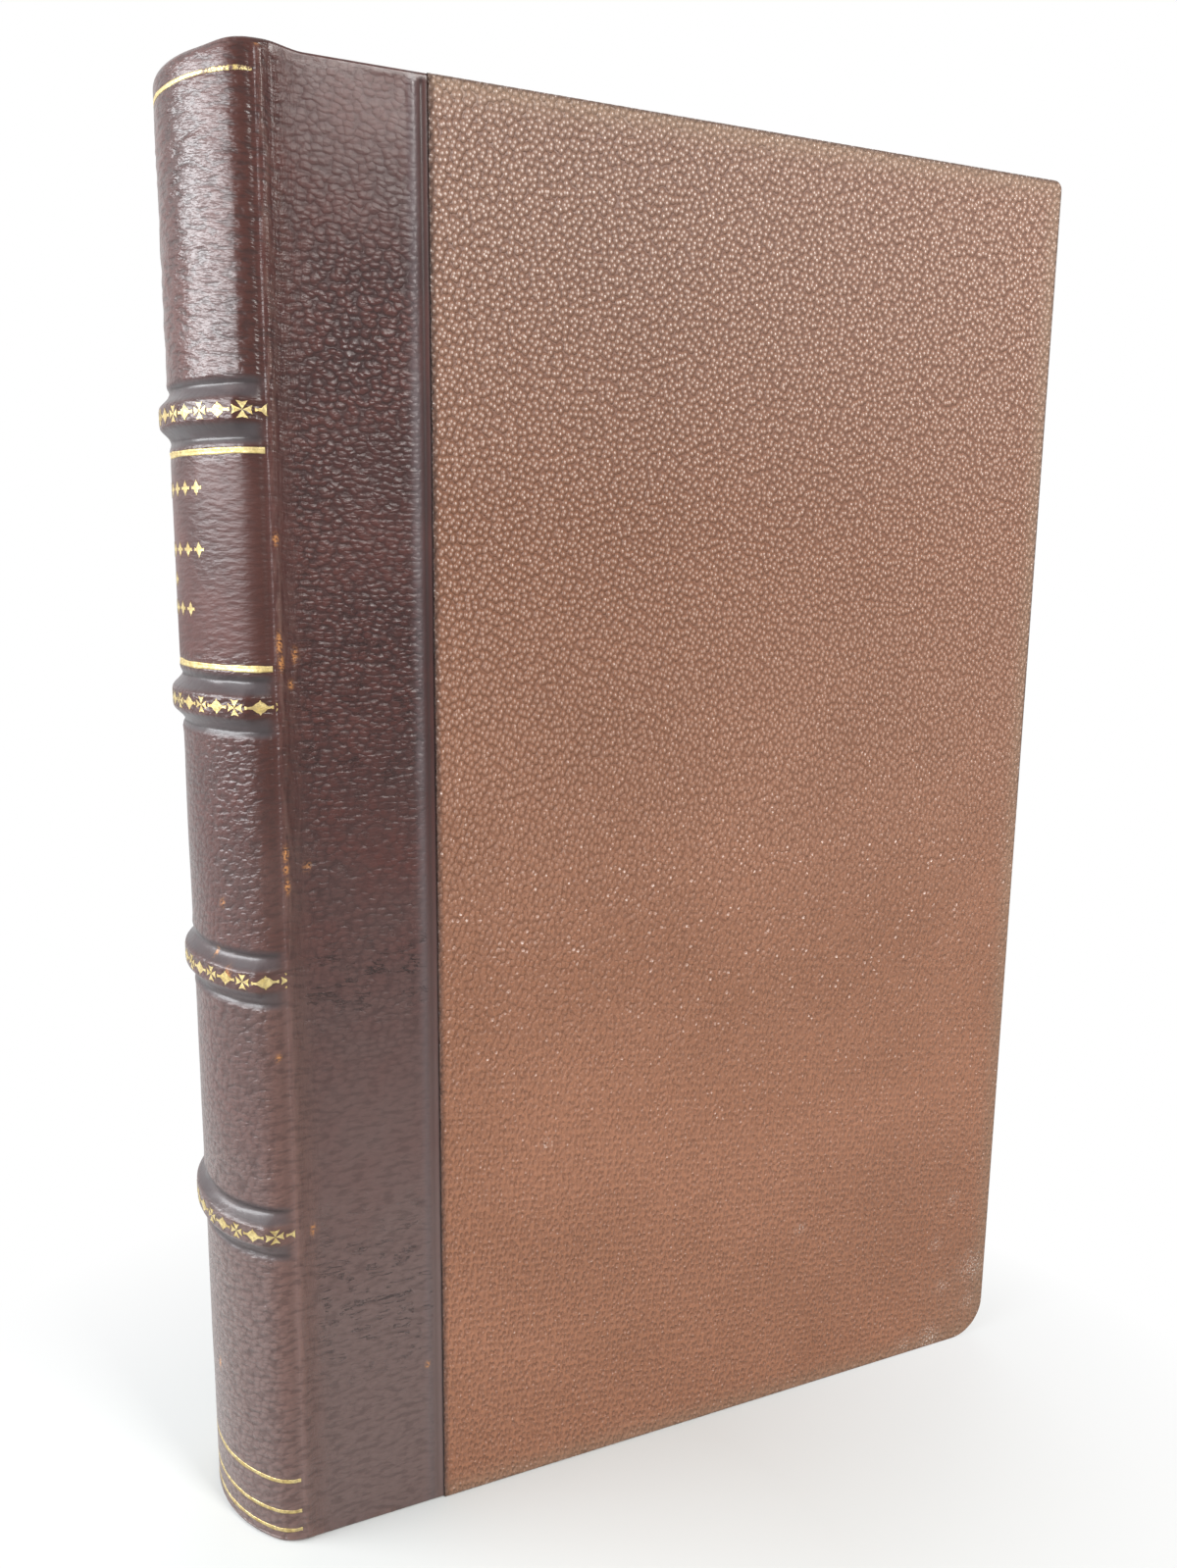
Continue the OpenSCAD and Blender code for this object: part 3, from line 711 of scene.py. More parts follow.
# Places where the leather is rubbed through to its orange underside, as (across, up, length)
SPOTS = [
    (HALF_LEN + 0.1, 157.3, 0.6), (HALF_LEN + 0.1, 143.0, 1.3), (HALF_LEN + 0.3, 140.3, 0.9),
    (HALF_LEN + 2.3, 141.8, 0.8), (HALF_LEN + 1.6, 137.6, 0.5), (HALF_LEN + 0.0, 112.8, 0.9),
    (HALF_LEN + 0.0, 110.6, 0.5), (HALF_LEN + 0.1, 108.0, 0.8), (HALF_LEN + 3.1, 111.0, 0.5),
    (HALF_LEN + 2.3, 53.6, 0.7), (HALF_LEN + 20.2, 25.5, 0.4), (9.5, 96.9, 0.5),
    (4.0, 26.0, 0.8), (13.6, 94.6, 0.9), (11.5, 104.8, 0.5), (20.6, 82.0, 0.4),
    (HALF_LEN - 0.2, 220.3, 0.5)]


def leather_marks(a, up):
    """What the leather is like at each point, and where shade, sheen and highlights are painted on
    it, from 0 to 1 for each kind of mark.
    """
    a, up = np.broadcast_arrays(a, up)
    joint = a - HALF_LEN
    to_cloth = STRIP_W - joint
    strip = between(joint, 0.5, 4.0)
    at_side = between(to_cloth, GROOVE_IN + 0.3, RIDGE_IN)
    upper = between(up, 55.0, 150.0)
    grain = strip * at_side * (0.18 + 0.82 * upper) * (0.8 + 0.3 * noise(a, up, 12.0, 51))
    grain = grain * (1 - 0.55 * between(up, 188.0, 214.0))
    head = between(up, BAND_Z[3] + 4, BAND_Z[3] + 9)
    title = between(up, BAND_Z[2] + 5, BAND_Z[2] + 8) * between(BAND_Z[3] - 5 - up, 0.0, 3.0)
    wrinkle = (1 - strip) * (0.62 + 0.38 * head - 0.25 * title) + 0.45 * strip * at_side * (
        1 - 0.6 * between(up, 185.0, 210.0))
    grain = grain + 0.4 * (1 - strip) * (1 - head) * (1 - title) * between(HALF_LEN - a, 1.0, 4.0)
    cracks = strip * at_side * (bell(up - 93.0, 5.0) + bell(up - 40.0, 12.0) + 0.5 * bell(
        up - 135.0, 18.0))
    joints = bell(joint - 1.9, 2.3) * (joint > -0.6)
    red = 0.8 * bell(joint + 2.4, 2.2) + 0.6 * bell(joint - 1.2, 1.8) * (1 - between(up, 60, 190))
    # Painted shade in the groove and a painted shadow beside the cloth's edge
    groove_shade = (0.2 + 0.6 * upper) * bell(to_cloth - GROOVE_IN, 0.32) + 0.8 * bell(to_cloth, 0.22)
    # Burnished zones, painted with a sheen: the ridge beside the cloth and the bands' flanks and nips
    burnish_and_sheen = 0.3 * bell(to_cloth - RIDGE_IN, 0.5)
    # Painted highlight on the ridge beside the cloth, stronger higher up
    ridge_highlight = (0.3 + 0.7 * upper) * bell(to_cloth - RIDGE_IN - 0.1, 0.8) * (
        0.8 + 0.2 * noise(a, up, 6.0, 63))
    for i in range(4):
        far = np.abs(up - band_middle(i, a))
        part = joint_part(a)
        worked = between(far, 1.3, 2.1) * (1 - between(far, 3.9, 4.9))
        # Each band's flanks and nips are burnished and painted with a sheen
        burnish_and_sheen = np.maximum(burnish_and_sheen, part * worked * (0.85 + 0.15 * noise(a, up, 2.5, 90 + i)))
        # Painted shade in each nip
        groove_shade = np.maximum(groove_shade, 0.75 * part * bell(far - NIP_FAR - 0.1, 0.34))
    smooth_part = 1 - 0.92 * np.clip(burnish_and_sheen, 0, 1)
    end = np.minimum(up, HEAD_Z - up)
    wear = (0.5 * bell(joint - 0.25, 0.65) + 0.25 * bell(joint - 1.7, 1.5)) * (
        0.55 + 0.45 * noise(a, up, 18.0, 77))
    wear = wear + 0.5 * bell(end - 0.3, 0.6) * (noise(a, up * 0 + 5, 3.0, 88) > 0.0)
    spot = np.zeros(a.shape)
    for at, z, length in SPOTS:
        spot = np.maximum(spot, 1.4 * np.exp(-((a - at) / 0.3) ** 2 - ((up - z) / length) ** 2))
    seen = up > 0
    marks = {"grain": grain * smooth_part, "wrinkle": wrinkle * smooth_part, "cracks": cracks,
             "joint": joints, "red": red, "groove_shade": groove_shade, "burnish_and_sheen": burnish_and_sheen, "ridge_highlight": ridge_highlight,
             "wear": wear * seen, "spot": spot * seen}
    return {key: np.clip(value, 0, 1) for key, value in marks.items()}


def leather_columns(start, end):
    """Places across the leather, closer together beside the joints and the groove."""
    def step(a):
        near = min(abs(abs(a) - HALF_LEN), abs(a - HALF_LEN - STRIP_W + 1.5))
        return JOINT_STEP if near < 2.2 else LEATHER_STEP

    return stepped(start, end, 0.2, step)


def joint_blend(item):
    """Bakes a piece's place into its points."""
    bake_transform(item)


front_skin = leather_sheet("leather_back_and_front", leather_columns(
    -HALF_LEN, HALF_LEN + STRIP_END))
joint_blend(front_skin)
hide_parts("spine_leather", "front_leather")
back_skin = leather_sheet("leather_back_board", leather_columns(
    HALF_LEN, HALF_LEN + STRIP_END), back=True)
joint_blend(back_skin)
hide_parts("back_leather")


# Gold tooling, laid on the leather's own surface
def on_leather(across, up, lift):
    h = leather_height(across, up)
    x, y = back_outline(across, -(h + lift))
    return stacked(x, y, up)


def gold_line(z, w, seed):
    """One gold line round the back: a narrow strip with its sides let into the leather."""
    across = np.arange(-LINE_HALF, LINE_HALF + 0.2, GOLD_STEP)[:, None]
    middle = z + 0.05 * noise(across, 0.0, 6.0, seed)
    half = w / 2 * (1 + 0.14 * noise(across, 3.0, 1.5, seed + 1))
    up = middle + half * np.array([[-1.0, -1.0, -0.5, 0.0, 0.5, 1.0, 1.0]])
    lifts = np.array([[-LET_IN] + [LEAF_LIFT] * 5 + [-LET_IN]])
    points = on_leather(across, up, lifts).reshape(-1, 3)
    return points, grid_faces(*up.shape), stacked(across, up).reshape(-1, 2) / 10


def joined(parts):
    """Joins parts, each made of points, faces and UV pairs, into one."""
    points, faces, uvs = [], [], []
    for part_points, part_faces, part_uvs in parts:
        start = sum(len(p) for p in points)
        points.append(part_points)
        faces += [[start + i for i in face] for face in part_faces]
        uvs.append(part_uvs)
    return np.concatenate(points), faces, np.concatenate(uvs)


def gold_piece(name, points, faces, uvs, smooth_faces, rub, node):
    item = mesh_object(name, in_place(points), faces, gold_leaf, uvs, smooth_faces, {"rub": rub})
    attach(item, "text_block")
    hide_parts(node)


def gold_lines(name, lines, node, rub):
    points, faces, uvs = joined([gold_line(z, w, 100 + 7 * k) for k, (z, w) in enumerate(lines)])
    gold_piece(name, points, faces, uvs, True, rub(uvs[:, 0] * 10), node)


gold_lines("gold_head_line", GOLD_LINES[:1], "gilt_head_line",
           lambda a: 0.3 + 0.7 * between(a, 12.5, 15.5))
gold_lines("gold_panel_lines", GOLD_LINES[1:3], "gilt_panel_lines", lambda a: 0.25 + 0 * a)
gold_lines("gold_tail_lines", GOLD_LINES[3:], "gilt_tail_lines", lambda a: 0.45 + 0 * a)


def new_tree(name, inputs):
    """An empty Geometry Nodes tree with a geometry input and the named inputs."""
    tree = bpy.data.node_groups.new(name, "GeometryNodeTree")
    tree.interface.new_socket("Geometry", in_out="OUTPUT", socket_type="NodeSocketGeometry")
    tree.interface.new_socket("Geometry", in_out="INPUT", socket_type="NodeSocketGeometry")
    for key, kind in inputs.items():
        tree.interface.new_socket(key, in_out="INPUT", socket_type=kind)
    return tree, make(tree, "NodeGroupInput"), make(tree, "NodeGroupOutput")


def grown_mesh(tree, start_mesh, values):
    """Runs a tree on a mesh and returns the plain mesh that it makes."""
    item = new_object("grown", start_mesh)
    modifier = item.modifiers.new("grow", "NODES")
    modifier.node_group = tree
    sockets = {s.name: s.identifier for s in tree.interface.items_tree if s.in_out == "INPUT"}
    for key, value in values.items():
        modifier[sockets[key]] = value
    bpy.context.view_layer.update()
    evaluated = item.evaluated_get(bpy.context.evaluated_depsgraph_get())
    mesh = bpy.data.meshes.new_from_object(evaluated)
    bpy.data.objects.remove(item)
    return mesh


def point_mesh(name, points, edges=()):
    mesh = bpy.data.meshes.new(name)
    mesh.from_pydata([tuple(p) for p in points], list(edges), [])
    return mesh


def realised(tree, instances):
    return make(tree, "GeometryNodeRealizeInstances", {0: instances}).outputs[0]


def painted(tree, geometry, material, **chosen):
    return make(tree, "GeometryNodeSetMaterial", {
        "Geometry": geometry, "Material": material, **chosen}).outputs[0]


def stamp_mesh(outline):
    """A flat stamp in the plane of across and up, cut fine enough to follow the leather."""
    mesh = bpy.data.meshes.new("stamp")
    shape = bmesh.new()
    for ring in outline:
        shape.faces.new([shape.verts.new((a, z, 0.0)) for a, z in ring])
    bmesh.ops.triangulate(shape, faces=shape.faces[:])
    bmesh.ops.subdivide_edges(shape, edges=shape.edges[:], cuts=STAMP_CUTS, use_grid_fill=True)
    shape.to_mesh(mesh)
    shape.free()
    return mesh


def cross_outline(size):
    """Four arms that widen outwards, each with a notch in its end."""
    tip = size / 2
    arm = [(0.0, 0.03), (tip * 0.16, tip * 0.34), (tip * 0.52, tip * 0.96), (0.0, tip * 0.82),
           (-tip * 0.52, tip * 0.96), (-tip * 0.16, tip * 0.34)]
    arms = []
    for k in range(4):
        turn = k * math.pi / 2
        arms.append([(a * math.cos(turn) - z * math.sin(turn),
                      a * math.sin(turn) + z * math.cos(turn)) for a, z in arm])
    return arms


def lozenge_outline(w, h):
    """A lozenge with hollow sides, a point above and below, and a stem on each side."""
    quarter = [(w * 0.05, h * 0.36), (w * 0.13, h * 0.30), (w * 0.26, 0.22), (w * 0.40, 0.14),
               (w * 0.44, 0.24), (w / 2, 0.24)]
    half = [(-a, z) for a, z in quarter[::-1]] + [(0.0, h / 2)] + quarter
    return [half[::-1] + [(a, -z) for a, z in half]]


def motif_tree():
    """Stands one stamp on every point that it is given."""
    tree, given, result = new_tree("motifs", {"Stamp": "NodeSocketObject"})
    stamp = make(tree, "GeometryNodeObjectInfo", {"Object": given.outputs["Stamp"]})
    spread = make(tree, "GeometryNodeInstanceOnPoints", {
        "Points": given.outputs["Geometry"], "Instance": stamp.outputs["Geometry"]})
    made = painted(tree, realised(tree, spread.outputs[0]), gold_leaf)
    tree.links.new(made, result.inputs[0])
    return tree


MOTIFS = motif_tree()


def stamped(outline, places):
    """Stamps an outline at (across, up) places; returns flat points and faces."""
    holder = new_object("stamp", stamp_mesh(outline))
    mesh = grown_mesh(MOTIFS, point_mesh("places", [(a, z, 0.0) for a, z in places]),
                      {"Stamp": holder})
    bpy.data.objects.remove(holder)
    points = np.array([v.co[:2] for v in mesh.vertices]).reshape(-1, 2)
    faces = [list(p.vertices) for p in mesh.polygons
             if max(abs(points[v, 0]) for v in p.vertices) < ROLL_HALF]
    kept = sorted({v for face in faces for v in face})
    number = {v: k for k, v in enumerate(kept)}
    return points[kept], [[number[v] for v in face] for face in faces]


def gold_motifs(name, groups, node, rub=0.35):
    """Wraps stamped motifs on the leather and gives them sides that are let into it."""
    parts = []
    for outline, places in groups:
        flat, faces = stamped(outline, places)
        parts.append((on_leather(flat[:, 0], flat[:, 1], LEAF_LIFT), faces, flat / 10))
    points, faces, uvs = joined(parts)
    count = len(points)
    low = on_leather(uvs[:, 0] * 10, uvs[:, 1] * 10, -LET_IN)
    edges = dict.fromkeys((i, face[(k + 1) % len(face)]) for face in faces
                          for k, i in enumerate(face))
    sides = [[i, i + count, j + count, j] for i, j in edges if (j, i) not in edges]
    gold_piece(name, np.concatenate([points, low]), faces + sides, np.concatenate([uvs, uvs]),
               False, np.full(2 * count, rub), node)


# Each roll starts at its own phase, as the tool was set down anew on every band
ROLL_PITCH = 6.35
ROLL_PHASE = [0.3, -2.9, -2.3, 0.1]
ROLL_HALF = HALF_LEN - 0.35
CROSS_W = 2.4
LOZENGE_W = 3.5
LOZENGE_H = 2.2
for i, phase in enumerate(ROLL_PHASE):
    crosses = [phase + k * ROLL_PITCH for k in range(-5, 6)]
    lozenges = [a + ROLL_PITCH / 2 for a in crosses]
    gold_motifs(f"gold_roll_{i + 1}", [
        (outline, [(a, float(band_middle(i, a))) for a in places])
        for outline, places in ((cross_outline(CROSS_W), crosses),
                                (lozenge_outline(LOZENGE_W, LOZENGE_H), lozenges))],
                f"gilt_roll_{i + 1}")

TITLE_ROWS = [(164.3, 7), (155.8, 7), (151.5, 1), (147.4, 5)]
TITLE_PITCH = 3.2
TITLE_LOZENGE_W = 2.4
title_places = [((k - (count - 1) / 2) * TITLE_PITCH, z)
                for z, count in TITLE_ROWS for k in range(count)]
gold_motifs("gold_title_ornament", [(lozenge_outline(TITLE_LOZENGE_W, LOZENGE_H), title_places)],
            "gilt_title_ornament", rub=0.3)


# Cloth sides
def rounded_place(x, z, inset, corners):
    """Moves places of a rectangle so that its fore-edge corners are round."""
    x, z = x.copy(), z.copy()
    for r, top in corners:
        r = max(r - inset, 0.05)
        cx = BOARD_W - inset - r
        cz = BOOK_H - inset - r if top else inset + r
        p, q = x - cx, (z - cz) * (1 if top else -1)
        inside = (p > 0) & (q > 0)
        reach = np.maximum(p, q)
        scale = np.where(inside, reach / np.maximum(np.hypot(p, q), 1e-9), 1.0)
        x = np.where(inside, cx + p * scale, x)
        z = np.where(inside, cz + (z - cz) * scale, z)
    return x, z


def cloth_lines(start, end, dense):
    """Places from start to end, closer together near the dense ones."""
    def step(place):
        near = min(abs(place - d) for d in dense)
        return CLOTH_STEP * 0.3 if near < 1.6 else CLOTH_STEP

    return stepped(start, end, 0.02, step)


# Places where the cloth is scuffed, as (x, z, size)
SCUFFS = [(134.0, 15.4, 2.6), (126.6, 12.5, 1.2), (124.2, 2.2, 2.2), (118.0, 2.2, 1.2),
          (124.4, 22.2, 1.0), (133.3, 7.6, 1.2), (128.1, 31.2, 1.0), (92.0, 33.0, 0.9),
          (41.0, 60.0, 0.8)]


def cloth_profile():
    """The cloth from the border of its outer face inwards, as (depth, distance from the edge)."""
    e = EDGE_ROUND
    rings = [(e * (1 - math.cos(t)), e - e * math.sin(t)) for t in (0.4, 0.8, 1.2, math.pi / 2)]
    rings += [(1.2, 0.0), (2.4, 0.0)]
    rings += [(PASTE_Y - e * (1 - math.sin(t)), e - e * math.cos(t)) for t in (0.0, 0.5, 1.0, 1.57)]
    return rings + [(PASTE_Y, 2.0), (PASTE_Y, 8.0), (PASTE_Y, TURN_IN), (TURN_Y, TURN_IN),
                    (TURN_Y, CLOTH_T), (CLOTH_T, CLOTH_T)]


def cloth_marks(points):
    """Where the cloth is worn, scuffed or darker along its edges, from 0 to 1."""
    x, y, z = points.T
    to_edge = np.minimum(BOARD_W - x, np.minimum(z, BOOK_H - z))
    to_corner = np.hypot(x - BOARD_W, z - 4.0)
    marks = {
        "wear": 0.4 * between(-to_corner, -24.0, -4.0) + bell(to_edge, 2.6),
        "edge": (bell(x - STRIP_W, 0.35) + 0.5 * bell(to_edge, 0.4)
                 + 0.9 * bell(to_edge, 0.5) * (z > BOOK_H / 2) * (y < 2)),
        "scuff": 1.3 * np.max([bell(np.hypot(x - at_x, z - at_z), size)
                               for at_x, at_z, size in SCUFFS], axis=0)}
    return {key: np.clip(value, 0, 1) for key, value in marks.items()}


def cloth_sheet(name, tail_r, back=False):
    """The cloth on one board: outer face, rounded edges and the turned-in sides."""
    e = EDGE_ROUND
    xs = cloth_lines(STRIP_W, BOARD_W - e, (BOARD_W,))
    zs = cloth_lines(e, BOOK_H - e, (0.0, BOOK_H))
    gx, gz = np.meshgrid(xs, zs, indexing="ij")
    x, z = rounded_place(gx, gz, e, [(HEAD_CORNER_R, True), (tail_r, False)])
    sag = 0.05 * rough_noise(gx, gz, 30.0, 5) * between(BOARD_W - gx, 0.5, 6.0)
    edge_in = between(gz, e, e + 3.0) * between(BOOK_H - gz, e, e + 3.0)
    y = 0.05 + np.maximum(-0.05, sag * edge_in)
    x[0, :] += 0.07 * noise(zs, 0.0, 0.9, 12)
    nx, nz = x.shape
    outer = stacked(x, y, z).reshape(-1, 3)
    border = ([(i, 0) for i in range(nx)] + [(nx - 1, j) for j in range(1, nz)]
              + [(i, nz - 1) for i in range(nx - 2, -1, -1)])
    index = [i * nz + j for i, j in border]
    edge = outer[index][:, [0, 2]]
    radius = np.where(edge[:, 1] > BOOK_H / 2, HEAD_CORNER_R, tail_r)
    # The direction out of the board at each point of the border
    out = edge - stacked(np.clip(edge[:, 0], 0, BOARD_W - radius),
                         np.clip(edge[:, 1], radius, BOOK_H - radius))
    out /= np.maximum(np.linalg.norm(out, axis=1)[:, None], 1e-9)
    straight = np.abs(out[:, 0]) < 1e-6
    points = [outer]
    uvs = [outer[:, [0, 2]]]
    rings = cloth_profile()
    path = 0.0
    last = (0.0, e)
    for depth, inset in rings:
        path += math.hypot(depth - last[0], inset - last[1])
        last = (depth, inset)
        uvs.append(edge + out * path)
        hold = np.maximum(radius, inset)
        px = np.clip(edge[:, 0], 0, BOARD_W - hold) + out[:, 0] * (hold - inset)
        px = np.where(straight, np.minimum(edge[:, 0], BOARD_W - hold), px)
        pz = np.clip(edge[:, 1], hold, BOOK_H - hold) + out[:, 1] * (hold - inset)
        points.append(stacked(px, depth, pz))
    points = np.concatenate(points)

    n = len(border)
    faces = grid_faces(nx, nz)
    previous = index
    for k in range(len(rings)):
        ring = [len(outer) + k * n + i for i in range(n)]
        faces += [[previous[i], ring[i], ring[i + 1], previous[i + 1]] for i in range(n - 1)]
        previous = ring
    tail_side = [len(outer) + k * n for k in range(len(rings))]
    head_side = [i + n - 1 for i in tail_side][::-1]
    faces += [previous, list(range(nz))[::-1] + tail_side + head_side]
    if back:
        faces = [face[::-1] for face in faces]
    item = mesh_object(name, in_place(points, back), faces, pebbled_cloth,
                       np.concatenate(uvs) / 10, True, cloth_marks(points))
    return item


front_cloth = cloth_sheet("cloth_front", WORN_CORNER_R)
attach(front_cloth, "front_cover")
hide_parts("front_cloth")
back_cloth = cloth_sheet("cloth_back", HEAD_CORNER_R, back=True)
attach(back_cloth, "back_cover")
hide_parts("back_cloth")


# The text block
LEAF_COUNT = 190
LEAF_FILL = 0.86
LEAF_TRIM = 0.18
LINING_T = 0.4
PASTE_T = 0.15
FLY_T = 0.2
COVER_CLEARANCE = 0.1
PAGES_IN = LEATHER_T + CARD_T + PARED_T + LINING_T
PAGES_Y = PASTE_Y + PASTE_T + COVER_CLEARANCE + FLY_T
FORE_HOLLOW = 4.0
FORE_LAND = 0.4


def leaf_tree():
    """Lays one thin slab for each point of a line; sizes come from the point's attributes."""
    tree, given, result = new_tree("leaves", {"Trim": "NodeSocketFloat", "Seed": "NodeSocketInt"})
    size = make(tree, "GeometryNodeInputNamedAttribute", {"Name": "size"},
                data_type="FLOAT_VECTOR")
    uneven = make(tree, "FunctionNodeRandomValue", {
        "Min": (0.0, 0.0, 0.0), "Max": (1.0, 0.0, 1.0), "Seed": given.outputs["Seed"]},
        data_type="FLOAT_VECTOR")
    trim = make(tree, "ShaderNodeVectorMath", {
        0: uneven.outputs[0], "Scale": given.outputs["Trim"]}, operation="SCALE")
    cut = make(tree, "ShaderNodeVectorMath", {0: size.outputs[0], 1: trim.outputs[0]},
               operation="SUBTRACT")
    slab = make(tree, "GeometryNodeMeshCube", {"Size": (1.0, 1.0, 1.0)})
    laid = make(tree, "GeometryNodeInstanceOnPoints", {
        "Points": given.outputs["Geometry"], "Instance": slab.outputs[0],
        "Scale": cut.outputs[0]})
    made = painted(tree, realised(tree, laid.outputs[0]), page_edges)
    tree.links.new(made, result.inputs[0])
    return tree


def page_leaves():
    """The block of leaves, round at the back and hollow at the fore-edge."""
    half = BOOK_T / 2 - PAGES_Y
    k = np.arange(LEAF_COUNT)
    pitch = 2 * half / LEAF_COUNT
    y = -half + (k + 0.5) * pitch
    fore_half = half - FORE_LAND
    fore_r = (fore_half ** 2 + FORE_HOLLOW ** 2) / (2 * FORE_HOLLOW)
    fore_y = np.minimum(np.abs(y), fore_half)
    right = FORE_X - FORE_HOLLOW + fore_r - np.sqrt(fore_r ** 2 - fore_y ** 2)
    inner_wide = WIDE_R - PAGES_IN
    inner_small = SHOULDER_R - PAGES_IN
    small_y = np.clip(np.abs(y) - HALF_FLAT, 0, inner_small)
    wide_x = np.sqrt(np.maximum(inner_wide ** 2 - y ** 2, 0)) - WIDE_X
    small_x = np.sqrt(inner_small ** 2 - small_y ** 2)
    left = -np.where(np.abs(y) < inner_wide * math.sin(WIDE_HALF), wide_x, small_x)
    thick = pitch * LEAF_FILL * np.random.default_rng(8).uniform(0.8, 1.0, LEAF_COUNT)
    middles = stacked((left + right) / 2, y + BOOK_T / 2, (PAGES_Z + PAGES_TOP) / 2)
    line = point_mesh("leaf_line", in_place(middles))
    sizes = stacked(right - left, thick, PAGES_TOP - PAGES_Z) * MM
    attribute = line.attributes.new("size", "FLOAT_VECTOR", "POINT")
    attribute.data.foreach_set("vector", sizes.astype(np.float32).ravel())
    mesh = grown_mesh(leaf_tree(), line, {"Trim": LEAF_TRIM * MM, "Seed": 4})
    item = new_object("page_leaves", mesh)
    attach(item, "text_block")
    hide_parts("pages")


page_leaves()


# Headbands, sewn in two colours over a core
THREAD_R = 0.22
THREAD_TURNS = 84
THREAD_GROUP = 4
PATH_POINTS = 60


def thread_tree():
    """Winds thread round a path, in groups of one colour and then the other."""
    tree, given, result = new_tree("headband_threads", {
        "Band radius": "NodeSocketFloat", "Thread": "NodeSocketFloat",
        "Turns": "NodeSocketInt", "Group": "NodeSocketInt"})
    path = make(tree, "GeometryNodeMeshToCurve", {0: given.outputs["Geometry"]})
    stops = make(tree, "GeometryNodeCurveToPoints", {
        "Curve": path.outputs[0], "Count": given.outputs["Turns"]}, mode="COUNT")
    loop = make(tree, "GeometryNodeCurvePrimitiveCircle", {
        "Resolution": 20, "Radius": given.outputs["Band radius"]})
    section = make(tree, "GeometryNodeCurvePrimitiveCircle", {
        "Resolution": 6, "Radius": given.outputs["Thread"]})
    thread = make(tree, "GeometryNodeCurveToMesh", {
        "Curve": loop.outputs[0], "Profile Curve": section.outputs[0]})
    wound = make(tree, "GeometryNodeInstanceOnPoints", {
        "Points": stops.outputs["Points"], "Instance": thread.outputs[0],
        "Rotation": stops.outputs["Rotation"]})
    number = make(tree, "GeometryNodeInputIndex")
    group = calc(tree, "FLOOR", calc(tree, "DIVIDE", number.outputs[0], given.outputs["Group"]))
    second = make(tree, "FunctionNodeCompare", {
        "A": calc(tree, "MODULO", group, 2.0), "B": 0.5},
        data_type="FLOAT", operation="GREATER_THAN")
    kept = make(tree, "GeometryNodeStoreNamedAttribute", {
        "Geometry": wound.outputs[0], "Name": "second", "Value": second.outputs[0]},
        data_type="BOOLEAN", domain="INSTANCE")
    chosen = make(tree, "GeometryNodeInputNamedAttribute", {"Name": "second"},
                  data_type="BOOLEAN")
    red = painted(tree, realised(tree, kept.outputs[0]), red_silk)
    made = painted(tree, red, cream_silk, Selection=chosen.outputs[0])
    tree.links.new(made, result.inputs[0])
    return tree


THREADS = thread_tree()


def headband(name, node):
    """Winds the threads round the solid core of one headband."""
    low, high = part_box(node)
    radius = (high.z - low.z) / 2 / MM
    middle = (high.z + low.z) / 2 / MM
    across = np.linspace(-HALF_LEN + 0.2, HALF_LEN - 0.2, PATH_POINTS)
    path = in_place(stacked(*back_outline(across, PAGES_IN + radius), middle))
    mesh = point_mesh("headband_path", path, [(k, k + 1) for k in range(PATH_POINTS - 1)])
    made = grown_mesh(THREADS, mesh, {
        "Band radius": (radius - 0.18) * MM, "Thread": THREAD_R * MM,
        "Turns": THREAD_TURNS, "Group": THREAD_GROUP})
    made.polygons.foreach_set("use_smooth", [True] * len(made.polygons))
    item = new_object(name, made)
    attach(item, "text_block")


headband("headband_threads_head", "head_band")
headband("headband_threads_tail", "tail_band")

# The solids that stay
for material, names in (
        (endpaper, ("front_flyleaf", "back_flyleaf", "front_pastedown", "back_pastedown",
                    "front_inner_filling", "back_inner_filling")),
        (linen, ("sewing_tapes", "spine_lining")),
        (millboard, ("hollow_back", "raised_band_1", "raised_band_2", "raised_band_3",
                     "raised_band_4", "front_board", "back_board", "front_outer_filling",
                     "back_outer_filling")),
        (red_silk, ("head_band", "tail_band"))):
    for name in names:
        for place in frame["nodes"][name].material_slots:
            place.material = material


# Floor, light and camera
def floor():
    """A pale floor round the book that turns white for the camera further out."""
    material, tree, shader = new_material("floor", 0.9, 0.1)
    shader.inputs["Base Color"].default_value = colour(0.65, 0.665, 0.655)
    place = make(tree, "ShaderNodeTexCoord").outputs["Object"]
    far = make(tree, "ShaderNodeVectorMath", {0: place, 1: (-0.03, -0.045, 0.0)},
               operation="DISTANCE").outputs["Value"]
    white = make(tree, "ShaderNodeEmission", {"Color": colour(1, 1, 1), "Strength": 1.0})
    seen = make(tree, "ShaderNodeLightPath").outputs["Is Camera Ray"]
    both = make(tree, "ShaderNodeMixShader", {
        0: times(tree, span(tree, far, 0.045, 0.14), seen), 1: shader.outputs[0],
        2: white.outputs[0]})
    tree.links.new(both.outputs[0], tree.nodes["Material Output"].inputs["Surface"])
    r = 3.0
    item = mesh_object("floor", [(-r, -r, 0), (r, -r, 0), (r, r, 0), (-r, r, 0)],
                       [[0, 1, 2, 3]], material, None, False)


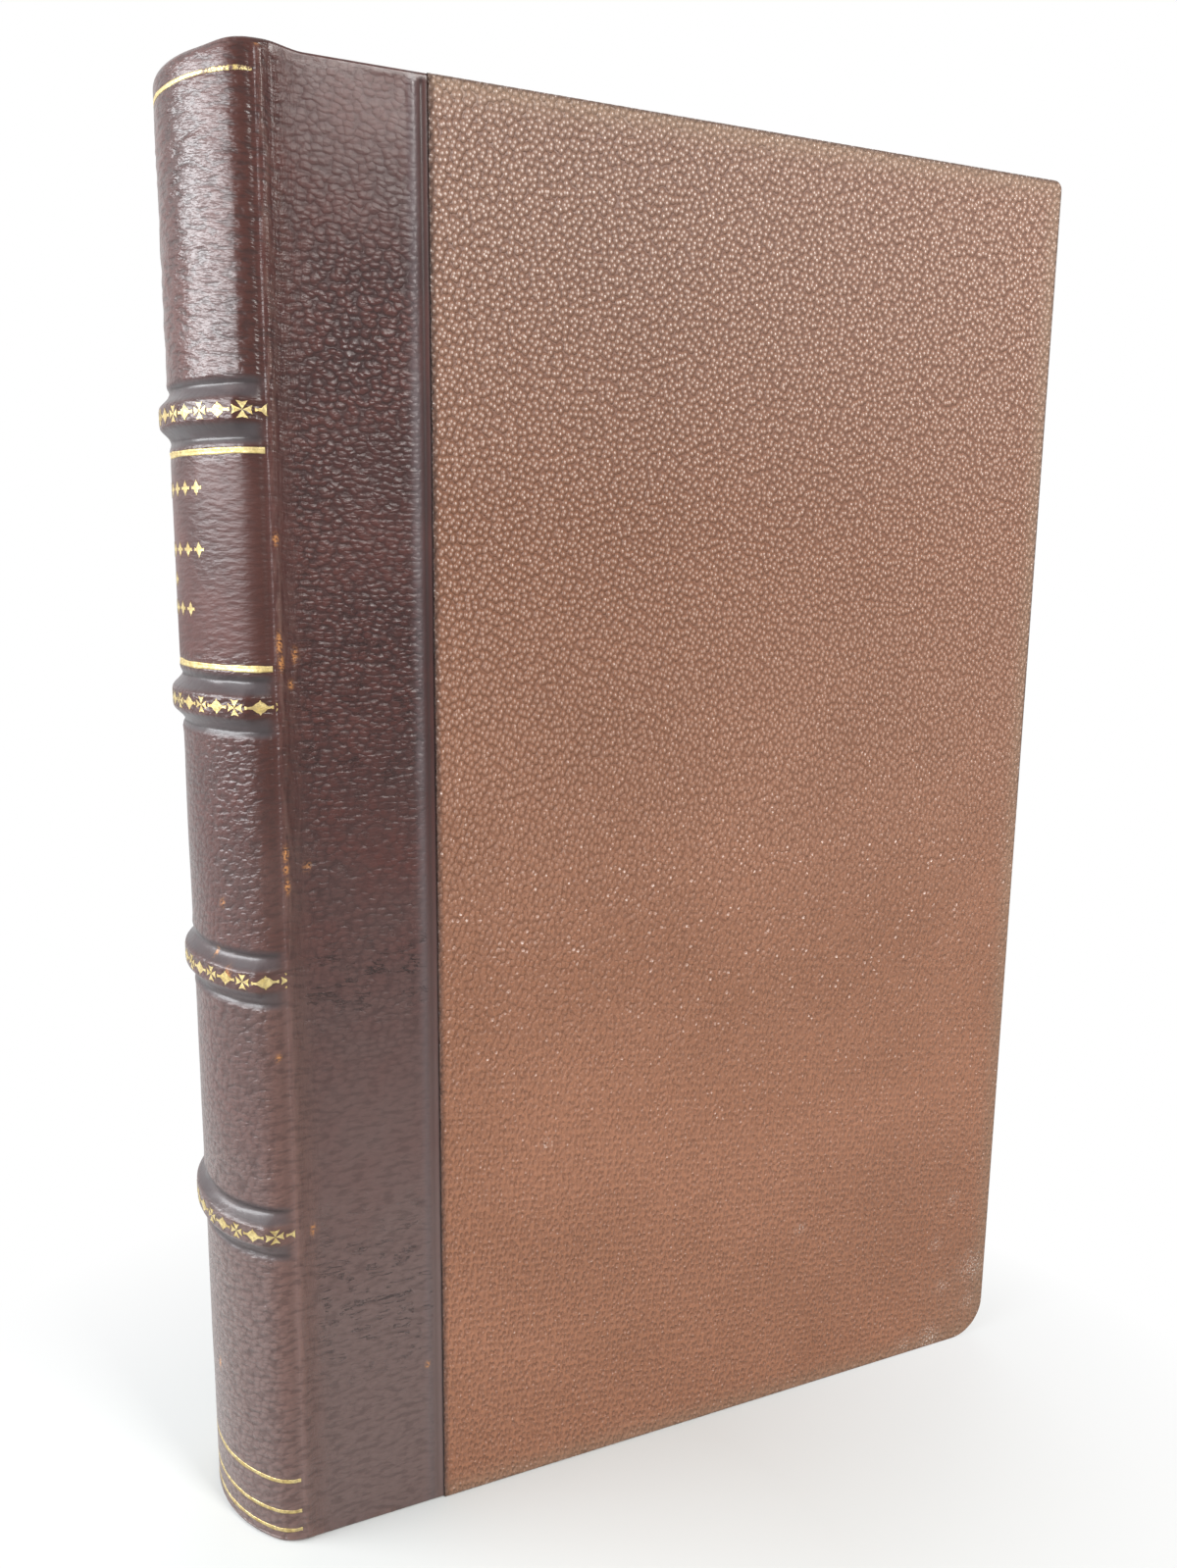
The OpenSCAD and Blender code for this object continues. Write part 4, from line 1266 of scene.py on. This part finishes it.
def world_light():
    """White behind everything and in reflections, with a softer light on the surfaces."""
    world = bpy.data.worlds.new("studio")
    bpy.context.scene.world = world
    world.use_nodes = True
    tree = world.node_tree
    tree.nodes.clear()
    path = make(tree, "ShaderNodeLightPath")
    seen = calc(tree, "MAXIMUM", path.outputs["Is Camera Ray"],
                path.outputs["Is Transmission Ray"])
    seen = calc(tree, "MAXIMUM", seen, path.outputs["Is Glossy Ray"])
    soft = make(tree, "ShaderNodeBackground", {"Color": colour(0.96, 0.98, 1.0), "Strength": 0.42})
    white = make(tree, "ShaderNodeBackground", {"Color": colour(1, 1, 1), "Strength": 1.0})
    both = make(tree, "ShaderNodeMixShader", {0: seen, 1: soft.outputs[0], 2: white.outputs[0]})
    out = make(tree, "ShaderNodeOutputWorld")
    tree.links.new(both.outputs[0], out.inputs["Surface"])


def lamp(name, at, target, size, power, tint):
    light = bpy.data.lights.new(name, "AREA")
    light.shape = "RECTANGLE"
    light.size, light.size_y = size
    light.energy = power
    light.color = tint
    item = new_object(name, light)
    item.location = at
    item.rotation_euler = (Vector(target) - Vector(at)).to_track_quat("-Z", "Y").to_euler()


def camera():
    data = bpy.data.cameras.new("camera")
    data.sensor_width = 36.0
    data.lens = FOCAL_PIXELS / PICTURE[1] * data.sensor_width
    data.clip_start = 0.01
    yaw, pitch, roll = CAMERA_YAW, CAMERA_PITCH, CAMERA_ROLL
    ahead = Vector((math.sin(yaw) * math.cos(pitch), math.cos(yaw) * math.cos(pitch),
                    -math.sin(pitch)))
    level = Vector((math.cos(yaw), -math.sin(yaw), 0.0))
    upright = level.cross(ahead)
    right = math.cos(roll) * level + math.sin(roll) * upright
    top = -math.sin(roll) * level + math.cos(roll) * upright
    item = new_object("camera", data)
    turn = Matrix((right, top, -ahead)).transposed().to_4x4()
    item.matrix_world = Matrix.Translation(Vector(CAMERA_AT) * MM) @ turn
    bpy.context.scene.camera = item


floor()
world_light()
lamp("window", (-1.05, 0.02, 0.80), (-0.07, 0, 0.12), (1.15, 1.25), 7.0, (0.97, 0.985, 1.0))
lamp("pane", (-1.10, 0.03, 0.42), (-0.07, 0, 0.16), (1.30, 0.36), 21.5, (0.95, 0.975, 1.0))
lamp("front", (0.28, -0.85, 0.64), (0.03, -0.02, 0.14), (0.24, 0.24), 8.0, (1.0, 0.98, 0.95))
lamp("back", (0.5, 0.9, 0.8), (0, 0, 0.1), (1.0, 1.0), 4.0, (1.0, 1.0, 1.0))
camera()
bpy.context.scene.view_settings.view_transform = "Standard"
